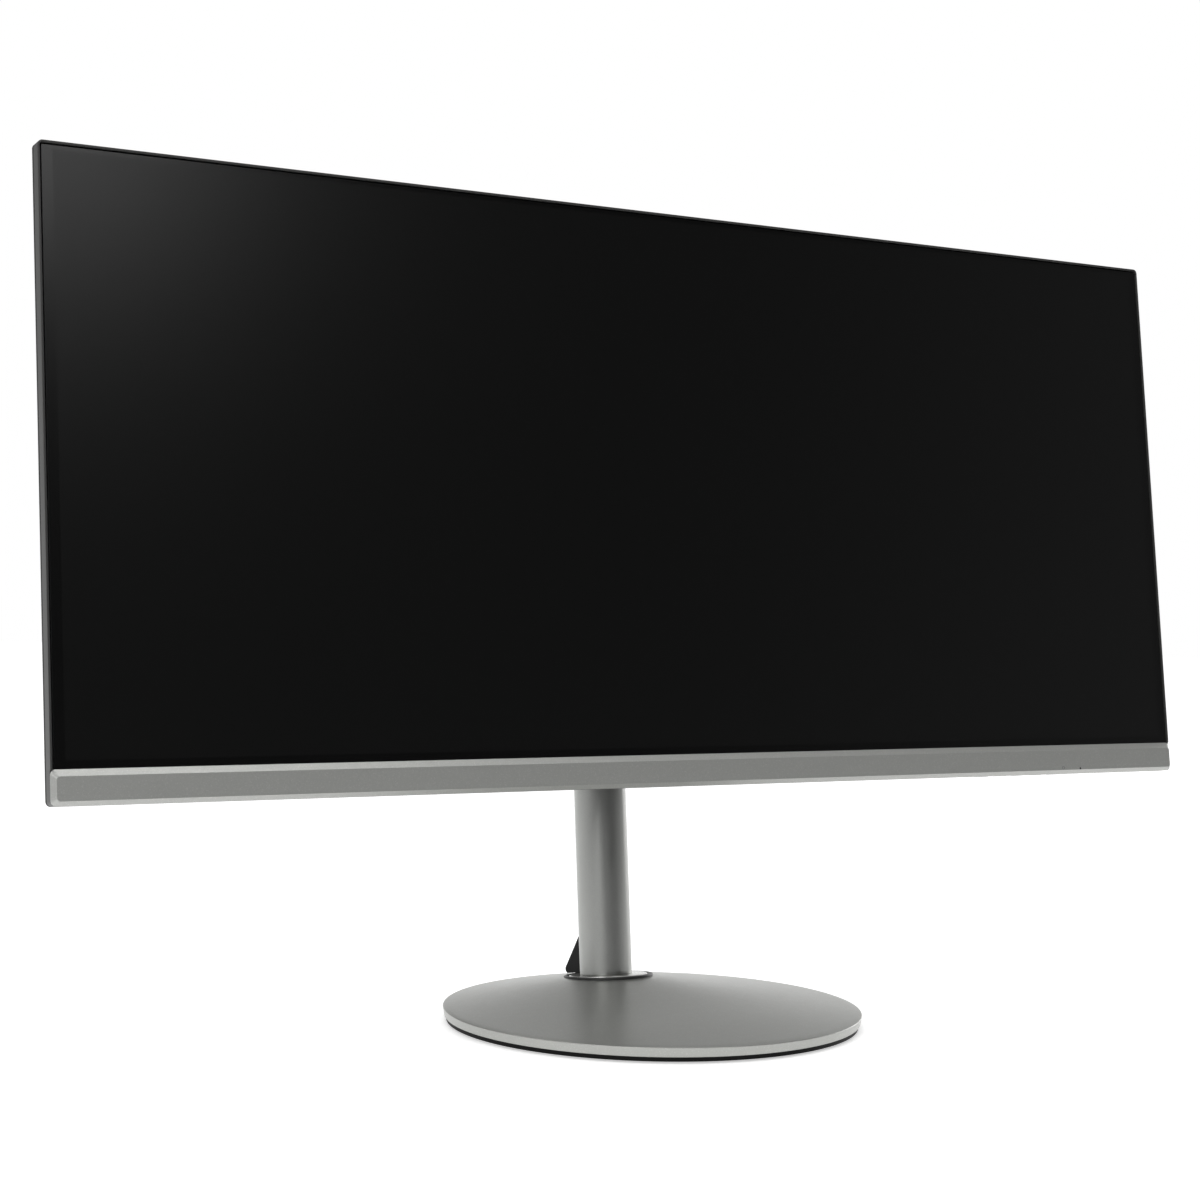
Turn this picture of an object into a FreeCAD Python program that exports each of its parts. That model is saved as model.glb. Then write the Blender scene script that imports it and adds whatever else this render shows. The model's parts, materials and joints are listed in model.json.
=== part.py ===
import FreeCAD, Part
import Sketcher
import math
import os
import re

# A flat ultrawide monitor on a round column stand.
# World frame: millimetres, +Z up, origin on the desk at the centre of the round
# foot, the screen facing -Y, +X to the viewer's right.
#
# Three frames are used. The foot is modelled in the world frame. The column is
# modelled upright in a frame that leans back about the column's foot. The head
# is modelled in a frame with X along its lower edge, Y towards its back and Z
# up its face, which tilts back about the head's lower front edge.

DIMENSIONS = [
    # round foot
    ("baseRadius", 133.2, "rim of the foot, at its sharp top edge"),
    ("baseUnderRadius", 132.2, "rim of the foot, at its lower edge"),
    ("rimBottom", 3.6, "height of the rim's lower edge"),
    ("rimTop", 9.3, "height of the rim's sharp edge"),
    ("seatTop", 20.4, "middle of the collar's seat, along the swivel axis"),
    ("collarRadius", 29.3, "dark collar ring, outside"),
    ("collarHeight", 1.1, "collar ring above the middle of its seat"),
    ("setback", 54.7, "column axis behind the foot's centre"),
    ("columnBack", 3.0, "column axis behind the swivel axis, both leaning alike"),
    ("seatLean", 4.4, "collar's seat on the foot, leaning back"),
    ("plugTop", 62, "top of the cast plug in the column's foot, along the column"),
    ("plinthRadius", 131.0, "black plinth under the rim"),
    ("plinthBottom", 0.8, "underside of the plinth"),
    ("recessRadius", 121.6, "hollow under the foot for the ballast"),
    ("recessTop", 7.8, "roof of that hollow"),
    ("socketRadius", 27.6, "swivel socket below its flange"),
    ("footPad", 1.8, "thickness of the rubber feet"),
    ("footPadRadius", 9.0, "rubber feet"),
    ("footPadCircle", 112.0, "circle that the rubber feet stand on"),
    ("gap", 0.3, "clearance between pieces that move past each other"),
    ("fit", 0.1, "clearance between pieces that are put together"),
    # swivel
    ("socketFloor", 12.0, "upper face of the socket's floor"),
    ("socketFloorUnder", 9.0, "lower face of the socket's floor"),
    ("washer", 0.8, "swivel washer"),
    ("turntableRadius", 26.0, "light ring at the column's foot"),
    ("turntableTop", 21.7, "upper face of the turntable"),
    ("spindleRadius", 7.0, "swivel spindle"),
    ("stopRadius", 2.0, "pin that limits the swivel"),
    ("stopCircle", 17.0, "circle that the stop pin runs on"),
    ("swivelRange", 30.0, "swivel to each side, degrees"),
    ("stopAllowance", 7.8, "half the stop pin's width along its circle, degrees"),
    # column
    ("lean", 5.9, "column leans back, degrees"),
    ("tubeRadius", 17.1, "column tube, outside"),
    ("tubeBore", 14.3, "column tube, inside radius"),
    ("tubeTop", 378.0, "upper end of the tube along the column"),
    ("capHeight", 6.0, "cap on top of the tube"),
    ("plugLength", 10.0, "cap's plug inside the tube"),
    ("slotWidth", 15.0, "slot that the head's arm runs in"),
    ("slotMargin", 4.0, "slot beyond the arm at each end of the travel"),
    ("travel", 120.0, "lift"),
    ("clipWidth", 20.0, "cable clip, across"),
    ("clipReach", 35.3, "cable clip behind the column's axis"),
    ("clipTop", 45.9, "upper end of the cable clip"),
    ("clipHole", 3.6, "hole for the cables, radius"),
    ("clipHoleBack", 26, "hole behind the column's axis"),
    ("clipHoleSide", 4.0, "cable groove to the right of the middle"),
    ("clipMouth", 5.0, "mouth of the cable groove"),
    # lift carriage and tilt hinge
    ("hingeAlong", 324.36, "tilt axis along the column, head fully up"),
    ("hingeReach", 39.7, "tilt axis in front of the column's axis"),
    ("neckWidth", 13.0, "arm through the slot"),
    ("neckHeight", 44.0, "arm through the slot"),
    ("carriageRadius", 13.2, "carriage body"),
    ("carriageHeight", 70.0, "carriage body"),
    ("padRadius", 14.0, "guide pads, outside"),
    ("padHeight", 8.0, "guide pads"),
    ("yokeFace", 24.0, "back of the yoke in front of the column's axis"),
    ("yokePlate", 3.2, "yoke's back plate"),
    ("barrelRadius", 9.5, "yoke's barrel around the tilt pin"),
    ("barrelWidth", 24.0, "yoke's barrel along the tilt pin"),
    ("pinRadius", 4.0, "tilt pin"),
    ("earWidth", 4.0, "tilt bracket's ears"),
    ("drumDrop", 47.0, "spring drum's axis below the carriage's middle"),
    ("coilRadius", 9.2, "coiled lift spring"),
    ("drumRadius", 5.6, "core of the spring drum"),
    # head
    ("tilt", 7.1, "head leans back, degrees"),
    ("headWidth", 817.0, "over the frame"),
    ("headHeight", 364.0, "over the frame"),
    ("hingeUp", 183.0, "tilt axis above the head's lower edge"),
    ("hingeBack", 68.0, "tilt axis behind the frame's front"),
    ("lip", 1.3, "front lip of the frame"),
    ("lowerBar", 5.0, "frame's bar below the screen"),
    ("frameDepth", 7.5, "frame, front to back"),
    ("glassFront", 0.8, "screen behind the frame's front"),
    ("glassThickness", 1.4, "liquid crystal panel"),
    ("glassInset", 2.2, "screen's edge inside the frame's outline"),
    ("chinHeight", 19.7, "silver strip"),
    ("chinProud", 2.5, "silver strip in front of the frame"),
    ("chinBevel", 3.8, "strip's upper bevel"),
    ("chinLowerBevel", 2.5, "strip's lower bevel"),
    ("chinEndBevel", 2.6, "strip's bevel at both ends"),
    ("headCorner", 3.0, "rounding of the head's four corners"),
    ("coverWall", 2.0, "rear cover's wall"),
    ("edgeDepth", 12.8, "head's depth at its thin edge"),
    ("slopeDepth", 24.0, "head's depth where the bulge starts"),
    ("bulgeDepth", 50.0, "head's depth at the bulge"),
    ("vesaPitch", 100.0, "screw pattern of the stand plate"),
    ("vesaRecess", 4.0, "recess for the stand plate"),
    ("vesaPlateSize", 116.0, "stand plate"),
    ("boardPlane", 26.0, "front face of the circuit boards"),
    ("boardThickness", 1.6, "circuit boards"),
    ("bayBottom", 55.0, "connector bays, lower end"),
    ("bayTop", 92.0, "connector bays, upper end"),
    ("bayFront", 25.0, "connector bays, front wall"),
    ("bayInner", 68.0, "connector bays, side nearer the middle"),
    ("bayOuter", 176.0, "connector bays, outer side"),
    ("keyTravel", 0.8, "stroke of the power and menu buttons"),
    ("keyPitch", 16.0, "spacing of the buttons"),
    ("powerKeyX", 305.0, "power button"),
    ("keyWidth", 10.0, "button across"),
    ("keyFront", 7.8, "front face of the buttons"),
    ("keyDepth", 2.6, "buttons, front to back"),
    ("keyProud", 0.1, "buttons below the cover's wall"),
    ("keyCollar", 1.2, "collar beyond each end of a button"),
    ("lightX", 320.6, "status light"),
    ("lightUp", 3.3, "status light above the strip's lower edge"),
    ("lightRadius", 0.75, "status light"),
]

doc = FreeCAD.newDocument("monitor")
sheet = doc.addObject("Spreadsheet::Sheet", "dims")
for row, (alias, value, note) in enumerate(DIMENSIONS, start=1):
    sheet.set(f"A{row}", note)
    sheet.set(f"B{row}", str(value))
    sheet.setAlias(f"B{row}", alias)
doc.recompute()

names = {alias for alias, value, note in DIMENSIONS}
subparts = []


# ---------------------------------------------------------------- helpers

# Turns "headWidth / 2" into an expression on the sheet's cells.
def formula(text):
    return re.sub(r"[A-Za-z]\w*", lambda word: f"dims.{word[0]}" if word[0] in names else word[0], str(text))


# The present value of a formula.
def size(text):
    return float(sheet.evalExpression(formula(text)))


def bind(thing, sizes):
    for name, text in sizes.items():
        thing.setExpression(name, formula(text))


def move_to(thing, at):
    bind(thing, {f"Placement.Base.{axis}": text for axis, text in zip("xyz", at)})


# A block from its low corner.
def block(name, width, depth, height, at):
    thing = doc.addObject("Part::Box", name)
    bind(thing, {"Length": width, "Width": depth, "Height": height})
    move_to(thing, at)
    return thing


# A block centred across X.
def slab(name, width, depth, height, y, z):
    return block(name, width, depth, height, (f"-({width}) / 2", y, z))


TURNS = {
    "z": ((0, 0, 1), 0),
    "x": ((0, 1, 0), 90),
    "y": ((1, 0, 0), -90),
}


def rod(name, radius, length, at, along="z"):
    thing = doc.addObject("Part::Cylinder", name)
    axis, angle = TURNS[along]
    thing.Placement = FreeCAD.Placement(FreeCAD.Vector(), FreeCAD.Rotation(FreeCAD.Vector(*axis), angle))
    bind(thing, {"Radius": radius, "Height": length})
    move_to(thing, at)
    return thing


def cone(name, low, high, length, at, along="z"):
    thing = doc.addObject("Part::Cone", name)
    axis, angle = TURNS[along]
    thing.Placement = FreeCAD.Placement(FreeCAD.Vector(), FreeCAD.Rotation(FreeCAD.Vector(*axis), angle))
    bind(thing, {"Radius1": low, "Radius2": high, "Height": length})
    move_to(thing, at)
    return thing


def hexagon(name, across, length, at, along="z"):
    thing = doc.addObject("Part::Prism", name)
    axis, angle = TURNS[along]
    thing.Polygon = 6
    thing.Placement = FreeCAD.Placement(FreeCAD.Vector(), FreeCAD.Rotation(FreeCAD.Vector(*axis), angle))
    bind(thing, {"Circumradius": f"({across}) / 2 / cos(30)", "Height": length})
    move_to(thing, at)
    return thing


def fuse(name, *shapes):
    thing = doc.addObject("Part::MultiFuse", name)
    thing.Shapes = list(shapes)
    thing.Refine = True
    return thing


def cut(name, base, *tools):
    thing = doc.addObject("Part::Cut", name)
    thing.Base = base
    thing.Tool = tools[0] if len(tools) == 1 else fuse(name + "_tools", *tools)
    thing.Refine = True
    return thing


# Separate solids that share one node, such as a set of screws.
def group(name, shapes):
    thing = doc.addObject("Part::Compound", name)
    thing.Links = list(shapes)
    return thing


def wrap(name, shape):
    return shape if shape.TypeId != "Part::Box" and shape.TypeId != "Part::Cylinder" else group(name + "_one", [shape])


# Rounds or bevels the edges of a shape that the test picks.
def soften(name, base, radius, test, kind="Part::Fillet"):
    doc.recompute()
    thing = doc.addObject(kind, name)
    thing.Base = base
    width = size(radius)
    thing.Edges = [(number, width, width) for number, edge in enumerate(base.Shape.Edges, start=1) if test(edge)]
    return thing


def runs_along(edge, axis):
    if len(edge.Vertexes) != 2:
        return False
    start, end = (vertex.Point for vertex in edge.Vertexes)
    step = end - start
    return abs(getattr(step, axis)) > 0.999 * step.Length


def origin_plane(body, role):
    return next(feature for feature in body.Origin.OriginFeatures if feature.Role == role)


# A closed outline of straight lines on one of the body's origin planes.
def outline(body, name, role, offset, points):
    sketch = body.newObject("Sketcher::SketchObject", name)
    sketch.AttachmentSupport = [(origin_plane(body, role), "")]
    sketch.MapMode = "FlatFace"
    bind(sketch, {"AttachmentOffset.Base.z": offset})
    corners = [FreeCAD.Vector(size(x), size(y), 0) for x, y in points]
    for number, corner in enumerate(corners):
        sketch.addGeometry(Part.LineSegment(corner, corners[(number + 1) % len(corners)]), False)
    for number in range(len(corners)):
        sketch.addConstraint(Sketcher.Constraint("Coincident", number, 2, (number + 1) % len(corners), 1))
    for number, (corner, point) in enumerate(zip(corners, points)):
        for kind, value, text in (("DistanceX", corner.x, point[0]), ("DistanceY", corner.y, point[1])):
            index = sketch.addConstraint(Sketcher.Constraint(kind, -1, 1, number, 1, value))
            sketch.renameConstraint(index, f"{kind}{number}")
            bind(sketch, {f"Constraints.{kind}{number}": text})
    return sketch


def circle(body, name, offset, radius, back="0"):
    sketch = body.newObject("Sketcher::SketchObject", name)
    sketch.AttachmentSupport = [(origin_plane(body, "XY_Plane"), "")]
    sketch.MapMode = "FlatFace"
    bind(sketch, {"AttachmentOffset.Base.z": offset, "AttachmentOffset.Base.y": back})
    sketch.addGeometry(Part.Circle(FreeCAD.Vector(), FreeCAD.Vector(0, 0, 1), size(radius)), False)
    sketch.addConstraint(Sketcher.Constraint("Coincident", 0, 3, -1, 1))
    index = sketch.addConstraint(Sketcher.Constraint("Radius", 0, size(radius)))
    sketch.renameConstraint(index, "radius")
    bind(sketch, {"Constraints.radius": radius})
    return sketch


# A rectangle with rounded corners, upright and facing Y, at a given depth.
def rounded(body, name, depth, half_width, low, high, corner):
    sketch = body.newObject("Sketcher::SketchObject", name)
    sketch.AttachmentSupport = [(origin_plane(body, "XZ_Plane"), "")]
    sketch.MapMode = "FlatFace"
    bind(sketch, {"AttachmentOffset.Base.z": f"-({depth})"})
    w, z0, z1, r = size(half_width), size(low), size(high), size(corner)
    centres = [(w - r, z0 + r, -90), (w - r, z1 - r, 0), (-w + r, z1 - r, 90), (-w + r, z0 + r, 180)]
    for x, z, start in centres:
        round_part = Part.Circle(FreeCAD.Vector(x, z, 0), FreeCAD.Vector(0, 0, 1), r)
        first = math.radians(start)
        sketch.addGeometry(Part.ArcOfCircle(round_part, first, first + math.pi / 2), False)
    for number, (x, z, start) in enumerate(centres):
        arc = sketch.Geometry[number]
        following = sketch.Geometry[(number + 1) % 4]
        sketch.addGeometry(Part.LineSegment(arc.EndPoint, following.StartPoint), False)
    for number in range(4):
        side = 4 + number
        sketch.addConstraint(Sketcher.Constraint("Tangent", number, 2, side, 1))
        sketch.addConstraint(Sketcher.Constraint("Tangent", side, 2, (number + 1) % 4, 1))
    for number in range(1, 4):
        sketch.addConstraint(Sketcher.Constraint("Equal", 0, number))
    sketch.addConstraint(Sketcher.Constraint("Vertical", 4))
    sketch.addConstraint(Sketcher.Constraint("Horizontal", 5))
    named = [
        ("corner", Sketcher.Constraint("Radius", 0, r), corner),
        ("right", Sketcher.Constraint("DistanceX", -1, 1, 4, 1, w), half_width),
        ("left", Sketcher.Constraint("DistanceX", -1, 1, 6, 1, -w), f"-({half_width})"),
        ("top", Sketcher.Constraint("DistanceY", -1, 1, 5, 1, z1), high),
        ("bottom", Sketcher.Constraint("DistanceY", -1, 1, 7, 1, z0), low),
    ]
    for name_of, constraint, text in named:
        index = sketch.addConstraint(constraint)
        sketch.renameConstraint(index, name_of)
        bind(sketch, {f"Constraints.{name_of}": text})
    return sketch


def new_body(name):
    return doc.addObject("PartDesign::Body", name)


def feature(body, kind, name, sketch, **settings):
    thing = body.newObject(kind, name)
    thing.Profile = sketch
    for key, value in settings.items():
        setattr(thing, key, value)
    return thing


# Padding from an XZ plane sketch runs towards the back, from a YZ plane sketch
# to the right and from an XY plane sketch upwards.
def pad(body, name, sketch, length, towards_back=False):
    thing = feature(body, "PartDesign::Pad", name, sketch, Reversed=towards_back)
    bind(thing, {"Length": length})
    return thing


def loft(body, name, sections):
    thing = body.newObject("PartDesign::AdditiveLoft", name)
    thing.Profile = sections[0]
    thing.Sections = sections[1:]
    thing.Ruled = True
    return thing


# A ring or disc turned about the Z axis from (radius, height) points.
def turned(name, points):
    body = new_body(name)
    sketch = outline(body, name + "_profile", "XZ_Plane", "0", points)
    feature(body, "PartDesign::Revolution", name + "_turn", sketch, ReferenceAxis=(sketch, ["V_Axis"]), Angle=360)
    return body


# A flat sheet facing the front, rounded at its four corners.
def sheet_plate(name, half_width, low, high, front, thickness, corner):
    body = new_body(name)
    sketch = rounded(body, name + "_outline", front, half_width, low, high, corner)
    pad(body, name + "_pad", sketch, thickness, towards_back=True)
    return body


# ---------------------------------------------------------------- placing

def finish(thing, label, sizes, angle):
    thing.Label = label
    thing.Placement = FreeCAD.Placement(FreeCAD.Vector(), FreeCAD.Rotation(FreeCAD.Vector(1, 0, 0), angle))
    bind(thing, {f"Placement.Base.{axis}": text for axis, text in sizes.items()})
    subparts.append(thing)
    return thing


# Keeps a sub-part where it was modelled: in the world frame.
def on_foot(label, thing):
    return finish(thing, label, {}, 0)


# The foot of the swivel axis in the world frame, and the middle of the seat on it.
SWIVEL_Y = "(setback - columnBack * cos(lean))"
SWIVEL_Z = "(columnBack * sin(lean))"
SEAT_Y = f"{SWIVEL_Y} + seatTop * sin(lean)"
SEAT_Z = f"{SWIVEL_Z} + seatTop * cos(lean)"


# Leans a sub-part modelled upright about the swivel axis back with the column.
def on_swivel(label, thing):
    finish(thing, label, {"y": SWIVEL_Y, "z": SWIVEL_Z}, -size("lean"))
    bind(thing, {"Placement.Rotation.Angle": "-lean"})
    return thing


# Leans a sub-part modelled along the column back about the column's foot.
def on_column(label, thing):
    finish(thing, label, {"y": "setback"}, -size("lean"))
    bind(thing, {"Placement.Rotation.Angle": "-lean"})
    return thing


# The tilt axis in the world frame, and from it the head's own origin.
TILT_Y = "(setback - hingeReach * cos(lean) + hingeAlong * sin(lean))"
TILT_Z = "(hingeReach * sin(lean) + hingeAlong * cos(lean))"
HEAD_Y = f"{TILT_Y} - hingeBack * cos(tilt) - hingeUp * sin(tilt)"
HEAD_Z = f"{TILT_Z} + hingeBack * sin(tilt) - hingeUp * cos(tilt)"


# Tilts a sub-part modelled on the upright head back into its place.
def on_head(label, thing):
    finish(thing, label, {"y": HEAD_Y, "z": HEAD_Z}, -size("tilt"))
    bind(thing, {"Placement.Rotation.Angle": "-tilt"})
    return thing


# ---------------------------------------------------------------- round foot

def circle_of(count, radius, first=0):
    for number in range(count):
        angle = first + 360 / count * number
        yield f"({radius}) * cos({angle})", f"({radius}) * sin({angle})"


# Rubber feet: a ring of six and one in the middle.
def foot_pad_places():
    yield "0", "0"
    yield from circle_of(6, "footPadCircle")


# The silver foot: a low upright rim, then a skew cone up to the collar's leaning
# seat, hollow underneath for the ballast, bored for the swivel socket.
def base_plate():
    body = new_body("foot_body")
    rim_low = circle(body, "rim_low", "rimBottom", "baseUnderRadius")
    rim_high = circle(body, "rim_high", "rimTop", "baseRadius")
    loft(body, "rim_loft", [rim_low, rim_high])
    rim_again = circle(body, "rim_again", "rimTop", "baseRadius")
    seat = circle(body, "seat", SEAT_Z, "collarRadius", SEAT_Y)
    seat.AttachmentOffset.Rotation = FreeCAD.Rotation(FreeCAD.Vector(1, 0, 0), -1)
    bind(seat, {"AttachmentOffset.Rotation.Angle": "-seatLean"})
    loft(body, "top_loft", [rim_again, seat])
    hollow = rod("foot_hollow", "recessRadius", "recessTop", ("0", "0", "0"))
    bore = rod("foot_bore", "socketRadius + fit", "seatTop + 10", ("0", SWIVEL_Y, SWIVEL_Z))
    bore.Placement.Rotation = FreeCAD.Rotation(FreeCAD.Vector(1, 0, 0), -1)
    bind(bore, {"Placement.Rotation.Angle": "-lean"})
    threads = []
    for x, y in circle_of(6, "footPadCircle - 14", 30):
        threads.append(rod("foot_thread", "1.7", "5.5", (x, y, "rimBottom")))
    on_foot("base_plate", cut("foot_cut", body, hollow, bore, *threads))


# Steel ballast disc that makes the foot heavy.
def base_weight():
    disc = rod("weight_disc", "recessRadius - fit", "recessTop - rimBottom", ("0", "0", "rimBottom"))
    bore = rod("weight_bore", "socketRadius + 2", "20", ("0", "setback", "0"))
    holes = []
    for x, y in circle_of(6, "footPadCircle - 14", 30):
        holes.append(rod("weight_hole", "2.3", "20", (x, y, "0")))
    on_foot("base_weight", cut("weight_cut", disc, bore, *holes))


# Black plinth: closes the foot from below and holds the rubber feet in pockets.
def base_bottom_cover():
    disc = rod("plinth_disc", "plinthRadius", "rimBottom - plinthBottom", ("0", "0", "plinthBottom"))
    tools = []
    for x, y in foot_pad_places():
        tools.append(rod("plinth_pocket", "footPadRadius + fit", "footPad", (x, y, "0")))
    for x, y in circle_of(6, "footPadCircle - 14", 30):
        tools.append(rod("plinth_hole", "2.3", "20", (x, y, "0")))
        tools.append(cone("plinth_sink", "4.5", "2.2", "2.3", (x, y, "plinthBottom")))
    tools.append(rod("plinth_access", "socketRadius - 6", "20", ("0", SWIVEL_Y, "0")))
    on_foot("base_bottom_cover", cut("plinth_cut", disc, *tools))


def rubber_feet():
    pads = [rod("foot_pad", "footPadRadius", "footPad", (x, y, "0")) for x, y in foot_pad_places()]
    on_foot("rubber_feet", group("foot_pads", pads))


# Countersunk screws through the plinth and the ballast into the foot.
def base_screws():
    screws = []
    for x, y in circle_of(6, "footPadCircle - 14", 30):
        head = cone("sunk_head", "4.2", "2.0", "2.2", (x, y, "plinthBottom + fit"))
        shank = rod("sunk_shank", "1.6", "7.4", (x, y, "plinthBottom + fit"))
        socket = hexagon("sunk_socket", "2.4", "1.2", (x, y, "plinthBottom"))
        screws.append(cut("sunk_screw", fuse("sunk_solid", head, shank), socket))
    on_foot("base_screws", group("sunk_screws", screws))


# ---------------------------------------------------------------- swivel

# Everything under the seat, seen from the swivel axis, which leans more.
def below_seat():
    depth = "30"
    turn = "(lean - seatLean)"
    at = ("0", f"{depth} * sin({turn})", f"seatTop - {depth} * cos({turn})")
    tool = rod("below_seat", "60", depth, at)
    tool.Placement.Rotation = FreeCAD.Rotation(FreeCAD.Vector(1, 0, 0), 1)
    bind(tool, {"Placement.Rotation.Angle": turn})
    return tool


# Dark collar: a cup let into the foot, with an arc slot for the stop pin. Its ring
# is thickest in front, where the seat leans less than the swivel axis.
def swivel_socket():
    ring = turned("collar_ring", [
        ("socketRadius - 0.6", "seatTop - 3"),
        ("collarRadius", "seatTop - 3"),
        ("collarRadius", "seatTop + collarHeight - 0.5"),
        ("collarRadius - 0.5", "seatTop + collarHeight"),
        ("socketRadius - 0.6", "seatTop + collarHeight"),
    ])
    body = turned("socket", [
        ("spindleRadius + 1.2", "socketFloorUnder"),
        ("socketRadius", "socketFloorUnder"),
        ("socketRadius", "seatTop + collarHeight"),
        ("collarRadius - 1.2", "seatTop + collarHeight"),
        ("turntableRadius + gap", "seatTop + collarHeight"),
        ("turntableRadius + gap", "socketFloor"),
        ("spindleRadius + 1.2", "socketFloor"),
    ])
    outer = rod("arc_outer", "stopCircle + stopRadius + gap", "20", ("0", "0", "0"))
    inner = rod("arc_inner", "stopCircle - stopRadius - gap", "20", ("0", "0", "0"))
    outer.Placement.Rotation = FreeCAD.Rotation(FreeCAD.Vector(0, 0, 1), 1)
    bind(outer, {
        "Angle": "2 * (swivelRange + stopAllowance)",
        "Placement.Rotation.Angle": "90 - swivelRange - stopAllowance",
    })
    arc = cut("arc_slot", outer, inner)
    cup = fuse("collar_cup", cut("collar_wedge", ring, below_seat()), body)
    on_swivel("swivel_socket", cut("socket_cut", cup, arc))


def swivel_washer():
    on_swivel("swivel_washer", turned("washer_ring", [
        ("spindleRadius + 1.2", "socketFloor"),
        ("stopCircle - stopRadius - 1", "socketFloor"),
        ("stopCircle - stopRadius - 1", "socketFloor + washer"),
        ("spindleRadius + 1.2", "socketFloor + washer"),
    ]))


# Light ring and disc that the column stands on.
def turntable():
    body = turned("turntable_disc", [
        ("spindleRadius", "socketFloor + washer"),
        ("turntableRadius", "socketFloor + washer"),
        ("turntableRadius", "turntableTop - 0.8"),
        ("turntableRadius - 0.8", "turntableTop"),
        ("spindleRadius", "turntableTop"),
    ])
    pin_hole = rod("pin_hole", "stopRadius", "8", ("0", "stopCircle", "socketFloor"))
    on_swivel("turntable", cut("turntable_cut", body, pin_hole))


def swivel_stop_pin():
    pin = rod("stop_pin", "stopRadius", "10", ("0", "stopCircle", "socketFloor - 2.5"))
    on_swivel("swivel_stop_pin", wrap("stop_pin", pin))


# Shouldered spindle through the socket's floor, screwed up into the column.
def swivel_spindle():
    on_swivel("swivel_spindle", turned("spindle", [
        ("0", "3"),
        ("5", "3"),
        ("5", "socketFloorUnder"),
        ("spindleRadius", "socketFloorUnder"),
        ("spindleRadius", "turntableTop + 16"),
        ("spindleRadius - 1", "turntableTop + 17"),
        ("0", "turntableTop + 17"),
    ]))


def swivel_nut():
    nut = hexagon("nut_hexagon", "26", "4.6", ("0", "0", "socketFloorUnder - 4.9"))
    bore = rod("nut_bore", "5", "20", ("0", "0", "0"))
    on_swivel("swivel_nut", cut("nut_cut", nut, bore))


# ---------------------------------------------------------------- column

def column_tube():
    outer = rod("tube_outer", "tubeRadius", "tubeTop - turntableTop", ("0", "0", "turntableTop"))
    bore = rod("tube_inner", "tubeBore", "tubeTop + 20", ("0", "0", "-10"))
    low = "hingeAlong - travel - neckHeight / 2 - slotMargin"
    slot = block("tube_slot", "slotWidth", "30", "travel + neckHeight + 2 * slotMargin",
                 ("-slotWidth / 2", "-35", low))
    on_column("column_tube", cut("tube_cut", outer, bore, slot))


# Cast plug inside the tube's foot, screwed to the turntable by the spindle.
def column_foot():
    plug = rod("foot_plug", "tubeBore", "plugTop - turntableTop", ("0", "0", "turntableTop"))
    hole = rod("spindle_hole", "spindleRadius", "50", ("0", "-columnBack", "0"))
    on_column("column_foot", cut("foot_plug_cut", plug, hole))


def column_cap():
    top = rod("cap_top", "tubeRadius", "capHeight", ("0", "0", "tubeTop"))
    rounded_top = soften("cap_round", top, "2.4", lambda edge: edge.BoundBox.ZMin > size("tubeTop + 1"))
    plug = rod("cap_plug", "tubeBore", "plugLength", ("0", "0", "tubeTop - plugLength"))
    groove = block("cap_groove", "10.4", "0.5", "plugLength - 2", ("-5.2", "coilRadius", "tubeTop - plugLength"))
    on_column("column_cap", cut("cap_cut", fuse("cap_solid", rounded_top, plug), groove))


# Unrolled end of the lift spring, hanging from the cap down to its drum.
def spring_strip():
    foot = "hingeAlong - drumDrop"
    strip = block("strip", "10", "0.3", f"tubeTop - 3 - ({foot})", ("-5", "coilRadius + 0.1", foot))
    on_column("spring_strip", wrap("strip", strip))


# Black wedge behind the foot of the column with a groove for the cables, open at
# the back. Its lip hangs outside the collar, just above the foot's slope.
def cable_clip():
    half = "clipWidth / 2"
    body = new_body("clip_body")
    sketch = outline(body, "clip_side", "YZ_Plane", f"-{half}", [
        ("10", "turntableTop"),
        ("turntableRadius - columnBack - 0.4", "turntableTop"),
        ("turntableRadius - columnBack + 0.4", "turntableTop + 0.4"),
        ("collarRadius - columnBack + 0.8", "turntableTop + 0.4"),
        ("collarRadius - columnBack + 1.2", "seatTop + 1.1"),
        ("clipReach - 2", "seatTop + 0.7"),
        ("clipReach", "seatTop + 2.4"),
        ("clipReach", "seatTop + 4.4"),
        ("17", "clipTop"),
        ("10", "clipTop"),
    ])
    pad(body, "clip_pad", sketch, "clipWidth")
    groove = rod("clip_groove", "clipHole", "80", ("clipHoleSide", "clipHoleBack", "0"))
    mouth = block("clip_mouth", "clipMouth", "20", "80", ("clipHoleSide - clipMouth / 2", "clipHoleBack", "0"))
    tube_space = rod("clip_tube", "tubeRadius", "80", ("0", "0", "0"))
    on_column("cable_clip", cut("clip_cut", body, groove, mouth, tube_space))


# ---------------------------------------------------------------- lift

# Block that slides in the tube, its neck coming out of the slot, its fork
# holding the spring drum below.
def lift_carriage():
    low = "hingeAlong - carriageHeight / 2"
    core = rod("carriage_core", "carriageRadius", "carriageHeight", ("0", "0", low))
    neck = slab("carriage_neck", "neckWidth", "yokeFace", "neckHeight", "-yokeFace", "hingeAlong - neckHeight / 2")
    cheeks = []
    for side in (-1, 1):
        x = "6.6" if side > 0 else "-9.2"
        cheeks.append(block("carriage_cheek", "2.6", "13", "16", (x, "-6.5", f"{low} - 15")))
    strip_way = block("strip_way", "11", "9", "carriageHeight + 4", ("-5.5", "coilRadius - 0.4", f"{low} - 2"))
    pin_hole = rod("drum_pin_hole", "2", "40", ("-20", "0", "hingeAlong - drumDrop"), "x")
    core_hole = rod("carriage_hole", "6", "carriageHeight + 4", ("0", "0", f"{low} - 2"))
    solid = fuse("carriage_solid", core, neck, *cheeks)
    on_column("lift_carriage", cut("carriage_cut", solid, strip_way, pin_hole, core_hole))


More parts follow.
